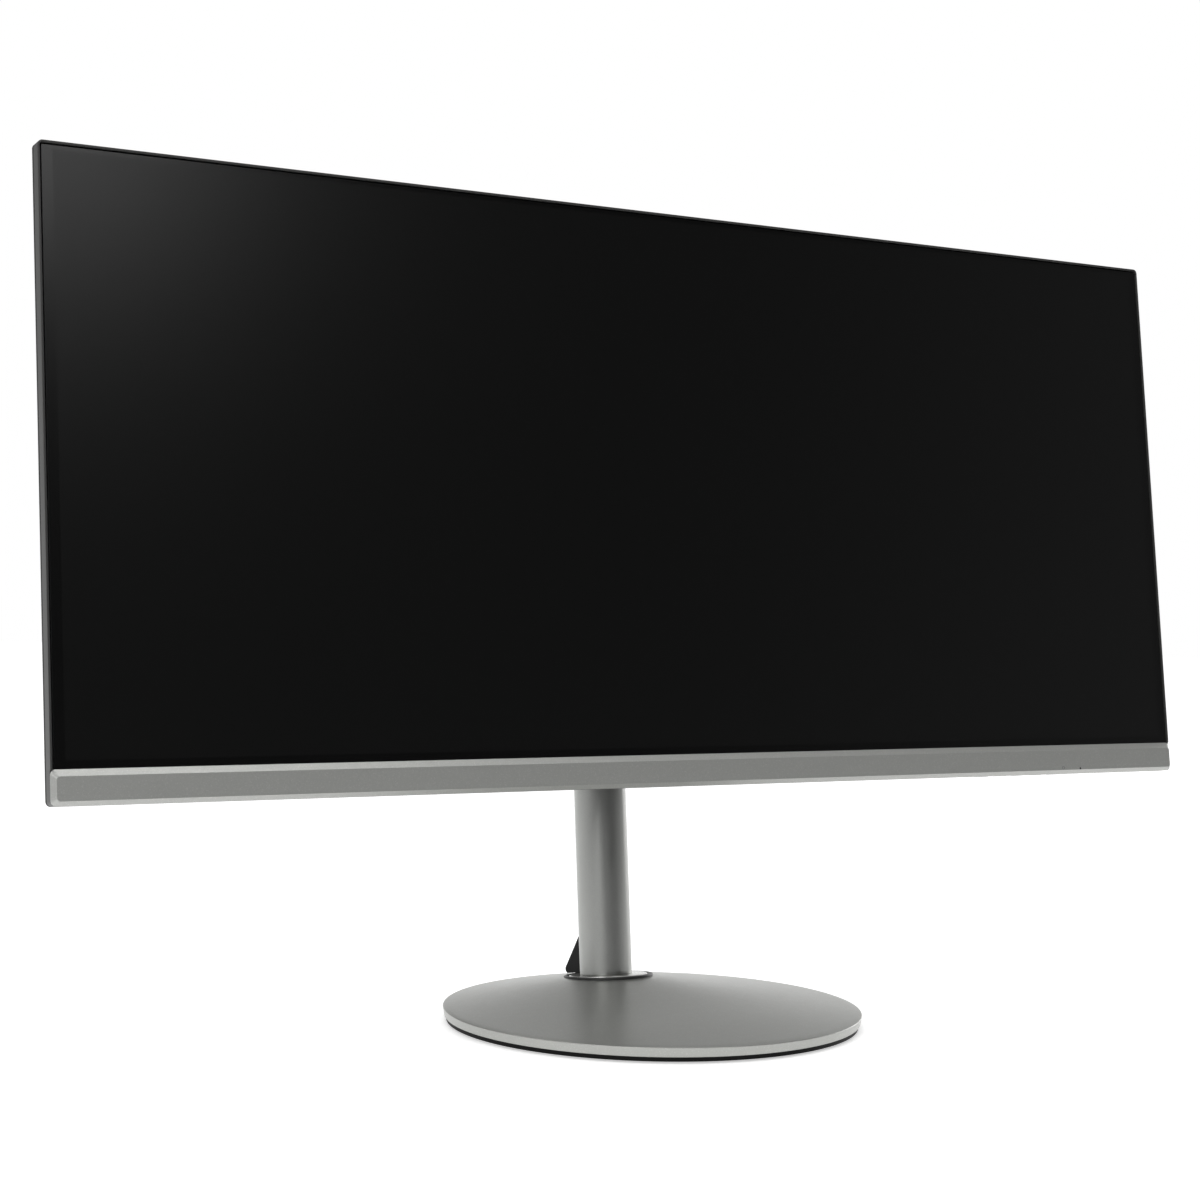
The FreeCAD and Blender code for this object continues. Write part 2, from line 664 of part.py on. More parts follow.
# Slippery guide rings near both ends of the carriage, open at the slot side
# for the neck and at the back for the spring.
def guide_pads():
    rings = []
    for middle in ("hingeAlong - carriageHeight / 2 + 6", "hingeAlong + carriageHeight / 2 - 6"):
        low = f"{middle} - padHeight / 2"
        ring = rod("pad_ring", "padRadius", "padHeight", ("0", "0", low))
        core = rod("pad_core", "carriageRadius", "20", ("0", "0", f"{middle} - 10"))
        way = slab("pad_way", "11", "20", "20", "0", f"{middle} - 10")
        front = slab("pad_front", "neckWidth + 2", "20", "20", "-20", f"{middle} - 10")
        rings.append(cut("pad_cut", ring, core, way, front))
    on_column("guide_pads", group("pad_rings", rings))


def drum_pin():
    pin = rod("drum_axle", "2", "18.4", ("-9.2", "0", "hingeAlong - drumDrop"), "x")
    on_column("drum_pin", wrap("drum_axle", pin))


def spring_drum():
    at = "hingeAlong - drumDrop"
    core = rod("drum_core", "drumRadius", "12.6", ("-6.3", "0", at), "x")
    flanges = [rod("drum_flange", "coilRadius - 0.9", "0.9", (x, "0", at), "x") for x in ("-6.3", "5.4")]
    bore = rod("drum_bore", "2.06", "20", ("-10", "0", at), "x")
    on_column("spring_drum", cut("drum_cut", fuse("drum_solid", core, *flanges), bore))


def spring_coil():
    at = "hingeAlong - drumDrop"
    outside = rod("coil_outer", "coilRadius", "10", ("-5", "0", at), "x")
    inside = rod("coil_inner", "drumRadius", "20", ("-10", "0", at), "x")
    on_column("spring_coil", cut("coil_cut", outside, inside))


# Yoke bolted to the carriage's neck: back plate, web and the tilt barrel.
def tilt_yoke():
    plate = slab("yoke_plate", "40", "yokePlate", "neckHeight", "-yokeFace - yokePlate", "hingeAlong - neckHeight / 2")
    web = slab("yoke_web", "barrelWidth", "hingeReach - yokeFace - 1", "2 * barrelRadius",
               "-hingeReach", "hingeAlong - barrelRadius")
    barrel = rod("yoke_barrel", "barrelRadius", "barrelWidth", ("-barrelWidth / 2", "-hingeReach", "hingeAlong"), "x")
    bore = rod("yoke_bore", "pinRadius", "80", ("-40", "-hingeReach", "hingeAlong"), "x")
    on_column("tilt_yoke", cut("yoke_cut", fuse("yoke_solid", plate, web, barrel), bore))


# Two cap screws hold the yoke on the neck, above and below the web.
def yoke_screws():
    screws = []
    for side in (-1, 1):
        z = f"hingeAlong + {side * 15.5}"
        head = rod("yoke_head", "3.4", "3.4", ("0", "-yokeFace - yokePlate - 3.4", z), "y")
        socket = hexagon("yoke_socket", "3.2", "1.8", ("0", "-yokeFace - yokePlate - 3.4", z), "y")
        screws.append(cut("yoke_screw", head, socket))
    on_column("yoke_screws", group("yoke_screw_set", screws))


def tilt_pin():
    shaft = rod("pin_shaft", "pinRadius", "46", ("-22", "-hingeReach", "hingeAlong"), "x")
    head = rod("pin_head", "6.5", "3", ("-22", "-hingeReach", "hingeAlong"), "x")
    on_column("tilt_pin", fuse("pin_solid", shaft, head))


# Spring washers on both sides of the barrel and outside both ears.
def friction_washers():
    rings = []
    start = "barrelWidth / 2"
    outside = "barrelWidth / 2 + 1 + earWidth"
    for x in (start, f"-({start}) - 0.8", outside, f"-({outside}) - 0.8"):
        ring = rod("washer_disc", "8", "0.8", (x, "-hingeReach", "hingeAlong"), "x")
        bore = rod("washer_bore", "pinRadius", "80", ("-40", "-hingeReach", "hingeAlong"), "x")
        rings.append(cut("washer_cut", ring, bore))
    on_column("friction_washers", group("washer_set", rings))


def tilt_nut():
    nut = hexagon("tilt_hexagon", "13", "5", ("barrelWidth / 2 + earWidth + 1.8", "-hingeReach", "hingeAlong"), "x")
    bore = rod("tilt_nut_bore", "pinRadius", "80", ("-40", "-hingeReach", "hingeAlong"), "x")
    on_column("tilt_nut", cut("tilt_nut_cut", nut, bore))


# Black shroud around the yoke, open towards the head.
def hinge_cover():
    low = "hingeAlong - neckHeight / 2"
    outer = slab("shroud_outer", "54", "19", "neckHeight + 8", "-36.6", f"{low} - 4")
    shell = soften("shroud_round", outer, "4", lambda edge: runs_along(edge, "y"))
    inner = slab("shroud_inner", "50", "17", "neckHeight + 4", "-36.6", f"{low} - 2")
    neck = slab("shroud_neck", "neckWidth + 0.2", "40", "neckHeight + 0.2", "-30", f"{low} - 0.1")
    on_column("hinge_cover", cut("shroud_cut", shell, inner, neck))


# ---------------------------------------------------------------- head: stand plate

def vesa_corners():
    for x in ("-vesaPitch / 2", "vesaPitch / 2"):
        for z in ("hingeUp - vesaPitch / 2", "hingeUp + vesaPitch / 2"):
            yield x, z


def vesa_plate():
    half = "vesaPlateSize / 2"
    front = "bulgeDepth - vesaRecess"
    plate = sheet_plate("stand_plate", half, f"hingeUp - {half}", f"hingeUp + {half}", front, "3", "8")
    holes = [rod("stand_hole", "2.3", "20", (x, "40", z), "y") for x, z in vesa_corners()]
    on_head("vesa_plate", cut("stand_plate_cut", plate, *holes))


def vesa_screws():
    screws = []
    for x, z in vesa_corners():
        shank = rod("vesa_shank", "2.0", "11.9", (x, "bulgeDepth - vesaRecess + 3.05 - 11.9", z), "y")
        head = rod("vesa_head", "3.9", "2.2", (x, "bulgeDepth - vesaRecess + 3", z), "y")
        socket = hexagon("vesa_socket", "3", "1.4", (x, "bulgeDepth - vesaRecess + 3.9", z), "y")
        screws.append(cut("vesa_screw", fuse("vesa_solid", shank, head), socket))
    on_head("vesa_screws", group("vesa_screw_set", screws))


# Steel bracket on the stand plate with the two ears of the tilt hinge.
def tilt_bracket():
    back = "bulgeDepth - vesaRecess + 3"
    plate = slab("bracket_plate", "64", "3", "64", back, "hingeUp - 32")
    corners = soften("bracket_round", plate, "6", lambda edge: runs_along(edge, "y"))
    pieces = [corners]
    for x in ("barrelWidth / 2 + 0.9", "-barrelWidth / 2 - 0.9 - earWidth"):
        pieces.append(block("ear_web", "earWidth", f"hingeBack - ({back})", "20", (x, back, "hingeUp - 10")))
        pieces.append(rod("ear_end", "10", "earWidth", (x, "hingeBack", "hingeUp"), "x"))
    bore = rod("ear_bore", "pinRadius + 0.06", "80", ("-40", "hingeBack", "hingeUp"), "x")
    on_head("tilt_bracket", cut("bracket_cut", fuse("bracket_solid", *pieces), bore))


# ---------------------------------------------------------------- head: screen

def middle_frame():
    half = "headWidth / 2"
    body = new_body("frame_body")
    outer = rounded(body, "frame_outer", "0", half, "0", "headHeight", "headCorner")
    pad(body, "frame_pad", outer, "frameDepth", towards_back=True)
    window = sheet_plate("frame_window", f"{half} - lip", "lowerBar", "headHeight - lip", "-1", "frameDepth + 2", "1.2")
    step = slab("frame_step", "headWidth + 2", "glassFront + 1", "chinHeight + 1", "-1", "-1")
    on_head("middle_frame", cut("frame_cut", body, window, step))


# Silver strip: a proud front face with a bevel along all four sides, wide above
# and narrow below, hollowed at the back and bored for the status light.
def chin_trim():
    body = new_body("chin_body")
    half = "headWidth / 2"
    back = rounded(body, "chin_back", "glassFront", half, "0", "chinHeight", "headCorner")
    shoulder = rounded(body, "chin_shoulder", "glassFront - 0.3", half, "0", "chinHeight", "headCorner")
    face = rounded(body, "chin_face", "-chinProud", f"{half} - chinEndBevel", "chinLowerBevel",
                   "chinHeight - chinBevel", "headCorner - 1")
    loft(body, "chin_loft", [back, shoulder, face])
    hollow = slab("chin_hollow", "headWidth - 16", "1.9", "chinHeight - 9.5", "glassFront - 1.9", "5.5")
    light_hole = rod("chin_light", "lightRadius + 0.05", "10", ("lightX", "-5", "lightUp"), "y")
    on_head("chin_trim", cut("chin_cut", body, hollow, light_hole))


def status_led():
    lens = rod("led_lens", "lightRadius", "chinProud + glassFront", ("lightX", "-chinProud", "lightUp"), "y")
    on_head("status_led", wrap("led_lens", lens))


STACK_HALF = "headWidth / 2 - glassInset - 1.4"
STACK_LOW = "lowerBar + 2.4"
STACK_HIGH = "headHeight - glassInset - 1.4"


def screen_stack():
    half = "headWidth / 2 - glassInset"
    back = "glassFront + glassThickness"
    on_head("lcd_glass", sheet_plate("glass", half, "lowerBar + 1", "headHeight - glassInset",
                                     "glassFront", "glassThickness", "0.8"))
    on_head("diffuser_sheet", sheet_plate("diffuser", STACK_HALF, STACK_LOW, STACK_HIGH, back, "0.6", "1"))
    on_head("light_guide", sheet_plate("guide", STACK_HALF, f"{STACK_LOW} + 3", STACK_HIGH,
                                       f"{back} + 0.6", "3", "1"))
    on_head("reflector_sheet", sheet_plate("reflector", STACK_HALF, STACK_LOW, STACK_HIGH,
                                           f"{back} + 3.6", "0.3", "1"))


# Light emitting diodes on a narrow strip under the light guide's lower edge.
def led_bar():
    back = "glassFront + glassThickness + 0.6"
    strip = slab("led_strip", "headWidth - 20", "3", "1", back, STACK_LOW)
    lamps = []
    count = 40
    for number in range(count):
        x = f"(headWidth - 40) * {number / (count - 1) - 0.5} - 2.8"
        lamps.append(block("led_lamp", "5.6", "2.4", "1.4", (x, f"{back} + 0.3", f"{STACK_LOW} + 1")))
    on_head("led_bar", fuse("led_solid", strip, *lamps))


# Pressed steel tray that holds the screen's layers.
def backlight_tray():
    half = "headWidth / 2 - glassInset"
    front = "glassFront + glassThickness"
    floor = f"{front} + 3.9"
    outer = sheet_plate("tray_outer", half, "lowerBar + 1", "headHeight - glassInset", front, "4.7", "0.8")
    inner = sheet_plate("tray_inner", f"{half} - 1.2", "lowerBar + 2.2", "headHeight - glassInset - 1.2",
                        f"{front} - 1", f"{floor} - ({front}) + 1", "0.8")
    on_head("backlight_tray", cut("tray_cut", outer, inner))


TRAY_BACK = "glassFront + glassThickness + 4.7"


# ---------------------------------------------------------------- head: rear cover

# One thin-edged dish and one bulge on its back. inset moves every section in
# by the wall's thickness, for the hollow inside.
def cover_solid(name, inset, front):
    body = new_body(name)
    half = f"headWidth / 2 - {inset}"
    top = f"headHeight - {inset}"
    wall = f"{inset} * 0.9"
    dish = [
        rounded(body, name + "_a", front, half, inset, top, "headCorner"),
        rounded(body, name + "_b", f"9.6 - {wall} * 0.5", half, inset, top, "headCorner"),
        rounded(body, name + "_c", f"11.6 - {wall}", f"{half} - 1.2", f"{inset} + 1.2", f"{top} - 1.2", "headCorner + 1"),
        rounded(body, name + "_d", f"edgeDepth - {wall}", f"{half} - 4", f"{inset} + 4", f"{top} - 4", "6"),
        rounded(body, name + "_e", f"slopeDepth - {wall}", f"300 - {inset}", f"34 + {inset}", f"330 - {inset}", "20"),
    ]
    loft(body, name + "_dish", dish)
    bulge = [
        rounded(body, name + "_f", f"slopeDepth - 6 - {wall}", f"242 - {inset}", f"52 + {inset}", f"306 - {inset}", "18"),
        rounded(body, name + "_g", f"bulgeDepth - 5 - {wall}", f"224 - {inset}", f"72 + {inset}", f"288 - {inset}", "16"),
        rounded(body, name + "_h", f"bulgeDepth - {wall}", f"217 - {inset}", f"79 + {inset}", f"281 - {inset}", "12"),
    ]
    loft(body, name + "_bulge", bulge)
    return body


# Solid material around the connector bays, later hollowed from outside.
def bay_blocks(name, grow):
    width = f"bayOuter - bayInner + 2 * {grow}"
    blocks = []
    for x in ("-bayOuter", "bayInner"):
        blocks.append(block(name, width, "60", f"bayTop - bayBottom + 2 * {grow}",
                            (f"{x} - {grow}", f"bayFront - {grow}", f"bayBottom - {grow}")))
    return blocks


# Centre x, front y, width, depth of each socket; signal sockets on the right
# seen from behind, the mains inlet on the left.
SIGNAL_Y = "boardPlane + boardThickness"
SOCKETS = {
    "hdmi_a": ("-92", SIGNAL_Y, "15.2", "6.4"),
    "hdmi_b": ("-114", SIGNAL_Y, "15.2", "6.4"),
    "displayport": ("-138", SIGNAL_Y, "18.0", "6.8"),
    "mains": ("122", SIGNAL_Y, "29.0", "18.0"),
}
JACK_X = "-160"
JACK_RADIUS = "4.2"


def socket_block(name, socket, grow, low, height):
    x, y, width, depth = SOCKETS[socket]
    return block(name, f"{width} + 2 * ({grow})", f"{depth} + 2 * ({grow})", height,
                 (f"{x} - {width} / 2 - ({grow})", f"{y} - ({grow})", low))


def vent_slots():
    slots = []
    count = 44
    for number in range(count):
        x = f"{(number - (count - 1) / 2) * 8.4} - 1.6"
        slots.append(block("vent", "3.2", "17", "60", (x, "slopeDepth + 3", "270")))
    return slots


def key_positions():
    for number in range(5):
        yield f"powerKeyX - {number} * keyPitch"


# Ways through the cover's lower wall for the buttons, and a pocket above them
# for their collars and their board.
def key_ways():
    ways = []
    for x in key_positions():
        ways.append(block("key_way", "keyWidth + 2 * gap", "keyFront + keyDepth + gap - frameDepth + 1", "8",
                          (f"{x} - keyWidth / 2 - gap", "frameDepth - 1", "-4")))
    ways.append(block("key_pocket", "4 * keyPitch + 18", "keyFront + keyDepth + 0.6 - frameDepth + 1", "5",
                      ("powerKeyX - 4 * keyPitch - 9", "frameDepth - 1", "coverWall")))
    return ways


def rear_cover():
    outside = cover_solid("cover_outer", "0", "frameDepth")
    inside = cover_solid("cover_inner", "coverWall", "frameDepth - 1")
    recess_half = "vesaPlateSize / 2 + 1"
    recess_front = "bulgeDepth - vesaRecess"
    pad_block = slab("recess_block", f"2 * ({recess_half}) + 8", "20", f"2 * ({recess_half}) + 8",
                     f"{recess_front} - 2", f"hingeUp - ({recess_half}) - 4")
    cavity = cut("cover_cavity", inside, pad_block, *bay_blocks("bay_block", "2"))
    tools = [cavity]
    tools.append(slab("recess", f"2 * ({recess_half})", "20", f"2 * ({recess_half})",
                      recess_front, f"hingeUp - ({recess_half})"))
    tools += bay_blocks("bay", "0")
    tools += [rod("cover_vesa", "2.3", "30", (x, "30", z), "y") for x, z in vesa_corners()]
    tools += [socket_block("socket_way", name, "0.2", "bayTop - 5", "10") for name in SOCKETS]
    tools.append(rod("jack_way", f"{JACK_RADIUS} + 0.2", "10", (JACK_X, f"{SIGNAL_Y} + {JACK_RADIUS}", "bayTop - 5")))
    tools += [rod("cover_screw_way", "1.7", "30", (x, "30", z), "y") for x, z in cover_screw_places()]
    tools += vent_slots()
    tools += key_ways()
    on_head("rear_cover", cut("cover_cut", outside, *tools))


# ---------------------------------------------------------------- head: inside

def cover_screw_places():
    for x in ("-196", "196"):
        for z in ("100", "262"):
            yield x, z


# Steel plate behind the tray that carries the boards and the stand's load.
def chassis_bracket():
    plate = slab("chassis_plate", "410", "1.2", "186", "21", "90")
    parts = [plate]
    bores = []
    for x in ("-190", "190"):
        for z in ("96", "262"):
            parts.append(block("chassis_leg", "10", f"21 - ({TRAY_BACK})", "10", (f"{x} - 5", TRAY_BACK, z)))
    for x, z in vesa_corners():
        parts.append(rod("vesa_post", "5", "bulgeDepth - vesaRecess - 2 - 22.2", (x, "22.2", z), "y"))
        bores.append(rod("vesa_thread", "2.05", "16", (x, "bulgeDepth - vesaRecess - 15", z), "y"))
    for x, z in cover_screw_places():
        parts.append(rod("cover_post", "4", "bulgeDepth - coverWall * 0.9 - 22.2", (x, "22.2", z), "y"))
        bores.append(rod("cover_thread", "1.55", "12", (x, "bulgeDepth - 12", z), "y"))
    for x in ("-166", "-72", "72", "166"):
        for z in ("104", "220"):
            parts.append(rod("board_post", "3", "boardPlane - 22.2", (x, "22.2", z), "y"))
    on_head("chassis_bracket", cut("chassis_cut", fuse("chassis_solid", *parts), *bores))


def cover_screws():
    screws = []
    for x, z in cover_screw_places():
        shank = rod("cover_shank", "1.5", "8.05", (x, "bulgeDepth - 8", z), "y")
        head = rod("cover_head", "3.2", "1.8", (x, "bulgeDepth", z), "y")
        socket = hexagon("cover_socket", "2.4", "1.2", (x, "bulgeDepth + 0.7", z), "y")
        screws.append(cut("cover_screw", fuse("cover_screw_solid", shank, head), socket))
    on_head("cover_screws", group("cover_screw_set", screws))


# Board with its processor, heat spreader and a row of small parts.
def main_board():
    back = SIGNAL_Y
    board = block("main_sheet", "106", "boardThickness", "132", ("-172", "boardPlane", "bayTop + 2.2"))
    chip = block("main_chip", "30", "1.6", "30", ("-134", back, "150"))
    sink = block("main_sink", "24", "5", "24", ("-131", f"{back} + 1.6", "153"))
    small = []
    for number in range(5):
        small.append(block("main_memory", "10", "1.2", "14", (f"{-160 + number * 18}", back, "196")))
        small.append(rod("main_can", "3.2", "6", (f"{-156 + number * 18}", back, "132"), "y"))
    on_head("main_board", fuse("main_solid", board, chip, sink, *small))


# Board with its transformer, mains capacitor, coil and cooling plates.
def power_board():
    back = SIGNAL_Y
    board = block("power_sheet", "106", "boardThickness", "108", ("66", "boardPlane", "bayTop + 26"))
    parts = [board]
    parts.append(block("transformer", "30", "15", "26", ("96", back, "172")))
    parts.append(rod("mains_can", "8.5", "14", ("146", back, "196"), "y"))
    parts.append(rod("second_can", "5.2", "14", ("82", back, "204"), "y"))
    parts.append(block("cooler_a", "3", "14", "40", ("134", back, "140")))
    parts.append(block("cooler_b", "3", "14", "32", ("84", back, "150")))
    parts.append(block("choke", "16", "12", "16", ("150", back, "150")))
    on_head("power_board", fuse("power_solid", *parts))


def driver_board():
    board = slab("driver_sheet", "300", "1.2", "22", TRAY_BACK, "26")
    chips = [block("driver_chip", "14", "1", "8", (f"{x} - 7", f"{TRAY_BACK} + 1.2", "33")) for x in ("-70", "0", "70")]
    on_head("driver_board", fuse("driver_solid", board, *chips))


# A socket shell hanging from its board with its mouth in the bay's roof.
def socket_shell(name, socket, wall, depth):
    outer = socket_block(name + "_outer", socket, "0", "bayTop", depth)
    inner = socket_block(name + "_inner", socket, f"-{wall}", "bayTop - 1", f"{depth} - 1")
    return cut(name + "_shell", outer, inner)


def sockets():
    on_head("hdmi_ports", group("hdmi_pair", [socket_shell("hdmi_one", "hdmi_a", "0.7", "12"),
                                              socket_shell("hdmi_two", "hdmi_b", "0.7", "12")]))
    on_head("displayport_socket", socket_shell("displayport", "displayport", "0.7", "13"))
    on_head("power_inlet", socket_shell("mains", "mains", "2", "20"))
    middle = f"{SIGNAL_Y} + {JACK_RADIUS}"
    barrel = rod("jack_outer", JACK_RADIUS, "13", (JACK_X, middle, "bayTop"))
    bore = rod("jack_bore", "2.6", "12", (JACK_X, middle, "bayTop - 1"))
    on_head("audio_jack", cut("jack_cut", barrel, bore))


# Small box loudspeakers beside the boards, standing on the chassis plate.
def speakers():
    for side, label in ((-1, "speaker_left"), (1, "speaker_right")):
        x = 187 * side
        case = block(label + "_case", "26", "14", "66", (f"{x} - 13", "22.2", "146"))
        soft = soften(label + "_round", case, "3", lambda edge: runs_along(edge, "y"))
        ring = rod(label + "_ring", "11", "1.2", (f"{x}", "36.2", "179"), "y")
        dip = cone(label + "_dip", "3", "9.4", "1.4", (f"{x}", "36.1", "179"), "y")
        on_head(label, cut(label + "_cut", fuse(label + "_solid", soft, ring), dip))


# ---------------------------------------------------------------- head: buttons

# Keys in the underside of the cover, each with a collar inside that stops it
# against the cover's wall, under a board with one switch for each key.
def keys():
    for number, x in enumerate(key_positions()):
        stem = block("key_stem", "keyWidth", "keyDepth", "coverWall + 0.6 + keyProud",
                     (f"{x} - keyWidth / 2", "keyFront", "-keyProud"))
        collar = block("key_collar", "keyWidth + 2 * keyCollar", "keyDepth", "0.9",
                       (f"{x} - keyWidth / 2 - keyCollar", "keyFront", "coverWall + 0.1"))
        label = "power_button" if number == 0 else f"menu_button_{number}"
        on_head(label, fuse(f"key_{number}", stem, collar))


def button_board():
    low = "coverWall + 1 + keyTravel + 1.2"
    board = block("key_sheet", "4 * keyPitch + 16", "keyDepth + 0.4", "1",
                  ("powerKeyX - 4 * keyPitch - 8", "keyFront", low))
    switches = []
    for x in key_positions():
        switches.append(block("key_switch", "5", "keyDepth - 0.4", "1.1", (f"{x} - 2.5", "keyFront + 0.2", f"{low} - 1.1")))
    on_head("button_board", fuse("key_board_solid", board, *switches))


# ---------------------------------------------------------------- build

base_plate()
base_weight()
base_bottom_cover()
rubber_feet()
base_screws()
swivel_socket()
swivel_washer()
turntable()
swivel_stop_pin()
swivel_spindle()
swivel_nut()
column_tube()
column_foot()
column_cap()
spring_strip()
cable_clip()
lift_carriage()
guide_pads()
drum_pin()
spring_drum()
spring_coil()
tilt_yoke()
yoke_screws()
tilt_pin()
friction_washers()
tilt_nut()
hinge_cover()
vesa_plate()
vesa_screws()
tilt_bracket()
middle_frame()
chin_trim()
status_led()
screen_stack()
led_bar()
backlight_tray()
rear_cover()
chassis_bracket()
cover_screws()
main_board()
power_board()
driver_board()
sockets()
speakers()
keys()
button_board()
doc.recompute()

failed = [thing.Label for thing in doc.Objects if "Invalid" in thing.State or "Error" in thing.State]
if failed:
    raise RuntimeError(f"failed objects: {failed}")
for thing in subparts:
    if thing.Shape.isNull() or not thing.Shape.isValid():
        raise RuntimeError(f"bad shape: {thing.Label}")

os.makedirs("parts", exist_ok=True)
for thing in subparts:
    thing.Shape.exportStep(f"parts/{thing.Label}.step")
    print(thing.Label, "solids", len(thing.Shape.Solids), "volume", round(thing.Shape.Volume))
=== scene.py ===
import json
from math import asin, atan2, cos, pi, radians, sin

import bmesh
import bpy
from mathutils import Matrix, Vector


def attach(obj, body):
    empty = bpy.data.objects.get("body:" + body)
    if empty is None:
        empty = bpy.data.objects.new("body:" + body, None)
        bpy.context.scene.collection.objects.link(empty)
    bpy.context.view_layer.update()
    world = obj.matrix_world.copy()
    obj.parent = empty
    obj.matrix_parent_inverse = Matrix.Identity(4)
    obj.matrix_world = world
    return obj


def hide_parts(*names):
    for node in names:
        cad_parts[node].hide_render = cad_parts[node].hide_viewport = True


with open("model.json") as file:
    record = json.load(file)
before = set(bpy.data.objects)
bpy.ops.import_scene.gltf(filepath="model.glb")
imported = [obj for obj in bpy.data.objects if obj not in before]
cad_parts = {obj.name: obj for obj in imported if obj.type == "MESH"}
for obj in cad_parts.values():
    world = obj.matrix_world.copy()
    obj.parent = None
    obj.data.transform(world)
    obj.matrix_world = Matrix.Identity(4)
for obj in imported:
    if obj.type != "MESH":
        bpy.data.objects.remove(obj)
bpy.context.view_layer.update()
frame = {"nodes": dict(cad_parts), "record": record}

record = frame["record"]
nodes = frame["nodes"]
joints = {joint["name"]: joint for joint in record["behaviour"]["joints"]}
homeOf = {node: body for body, group in record["behaviour"]["bodies"].items() for node in group}

print("stage: frames of the column and the head")

# where the tilt axis sits on the head, up from its lower edge and back from its front
headPlan = dict(hingeUp=0.183, hingeBack=0.068)

liftAxis = Vector(joints["lift"]["axis"])
headAxis = Vector(joints["power_press"]["axis"])
lean = atan2(liftAxis.y, liftAxis.z)
tilt = atan2(headAxis.y, headAxis.z)
swivelSpot = Vector(joints["swivel"]["pos_m"])
tiltSpot = Vector(joints["tilt"]["pos_m"])

# heights in the stand are measured along the swivel axis; the column stands a little behind it
standPlan = dict(seat=0.0204, seatLean=4.4, columnBack=0.003)
leanTurn = Matrix.Rotation(-lean, 4, "X")
swivelFrame = Matrix.Translation(swivelSpot) @ leanTurn @ Matrix.Translation((0, 0, -standPlan["seat"]))
columnFrame = swivelFrame @ Matrix.Translation((0, standPlan["columnBack"], 0))
headTurn = Matrix.Rotation(-tilt, 4, "X")
headCorner = Matrix.Translation((0, -headPlan["hingeBack"], -headPlan["hingeUp"]))
headFrame = Matrix.Translation(tiltSpot) @ headTurn @ headCorner

print("stage: shader words")


class Wire:
    # a socket in a material that can be added, multiplied and compared
    def __init__(self, finish, socket):
        self.finish = finish
        self.socket = socket

    def work(self, operation, first, second=None):
        values = {0: first} if second is None else {0: first, 1: second}
        return self.finish.add("ShaderNodeMath", dict(operation=operation), values)

    def __add__(self, other):
        return self.work("ADD", self, other)

    def __radd__(self, other):
        return self.work("ADD", other, self)

    def __sub__(self, other):
        return self.work("SUBTRACT", self, other)

    def __rsub__(self, other):
        return self.work("SUBTRACT", other, self)

    def __mul__(self, other):
        return self.work("MULTIPLY", self, other)

    def __rmul__(self, other):
        return self.work("MULTIPLY", other, self)

    def __pow__(self, other):
        return self.work("POWER", self, other)

    def __gt__(self, other):
        return self.work("GREATER_THAN", self, other)

    def __lt__(self, other):
        return self.work("LESS_THAN", self, other)

    def size(self):
        return self.work("ABSOLUTE", self)


class Finish:
    # the node tree of one material, or of the world, under construction
    def __init__(self, name, owner=None):
        self.material = owner or bpy.data.materials.new(name)
        self.material.use_nodes = True
        self.tree = self.material.node_tree
        self.tree.nodes.clear()

    def add(self, kind, settings=None, values=None, out=0):
        node = self.tree.nodes.new(kind)
        for key, value in (settings or {}).items():
            setattr(node, key, value)
        for key, value in (values or {}).items():
            if isinstance(value, Wire):
                self.tree.links.new(value.socket, node.inputs[key])
            else:
                node.inputs[key].default_value = value
        return Wire(self, node.outputs[out]) if len(node.outputs) else None

    def spot(self):
        # the piece's own coordinates, in metres
        return self.add("ShaderNodeTexCoord", out=3)

    def split(self, vector):
        node = self.tree.nodes.new("ShaderNodeSeparateXYZ")
        self.tree.links.new(vector.socket, node.inputs[0])
        return [Wire(self, socket) for socket in node.outputs]

    def join(self, x, y, z):
        return self.add("ShaderNodeCombineXYZ", None, {0: x, 1: y, 2: z})

    def stretch(self, vector, scale):
        return self.add("ShaderNodeMapping", dict(vector_type="POINT"), {"Vector": vector, "Scale": scale})

    def noise(self, vector, scale, detail=3.0, roughness=0.5):
        values = {"Vector": vector, "Scale": scale, "Detail": detail, "Roughness": roughness}
        return self.add("ShaderNodeTexNoise", None, values)

    def cells(self, vector, scale, out=0):
        return self.add("ShaderNodeTexVoronoi", None, {"Vector": vector, "Scale": scale}, out)

    def between(self, factor, low, high):
        # a number from low to high
        return low + factor * (high - low)

    def colour(self, factor, first, second, blend="MIX"):
        shades = [shade if isinstance(shade, Wire) else (*shade, 1.0) for shade in (first, second)]
        settings = dict(data_type="RGBA", blend_type=blend)
        return self.add("ShaderNodeMix", settings, {0: factor, 6: shades[0], 7: shades[1]}, 2)

    def bump(self, height, depth, strength=1.0, under=None):
        values = {"Strength": strength, "Distance": depth, "Height": height}
        if under is not None:
            values["Normal"] = under
        return self.add("ShaderNodeBump", None, values)

    def done(self, values):
        surface = self.add("ShaderNodeBsdfPrincipled", None, values)
        self.add("ShaderNodeOutputMaterial", None, {"Surface": surface})
        return self.material


print("stage: finishes")

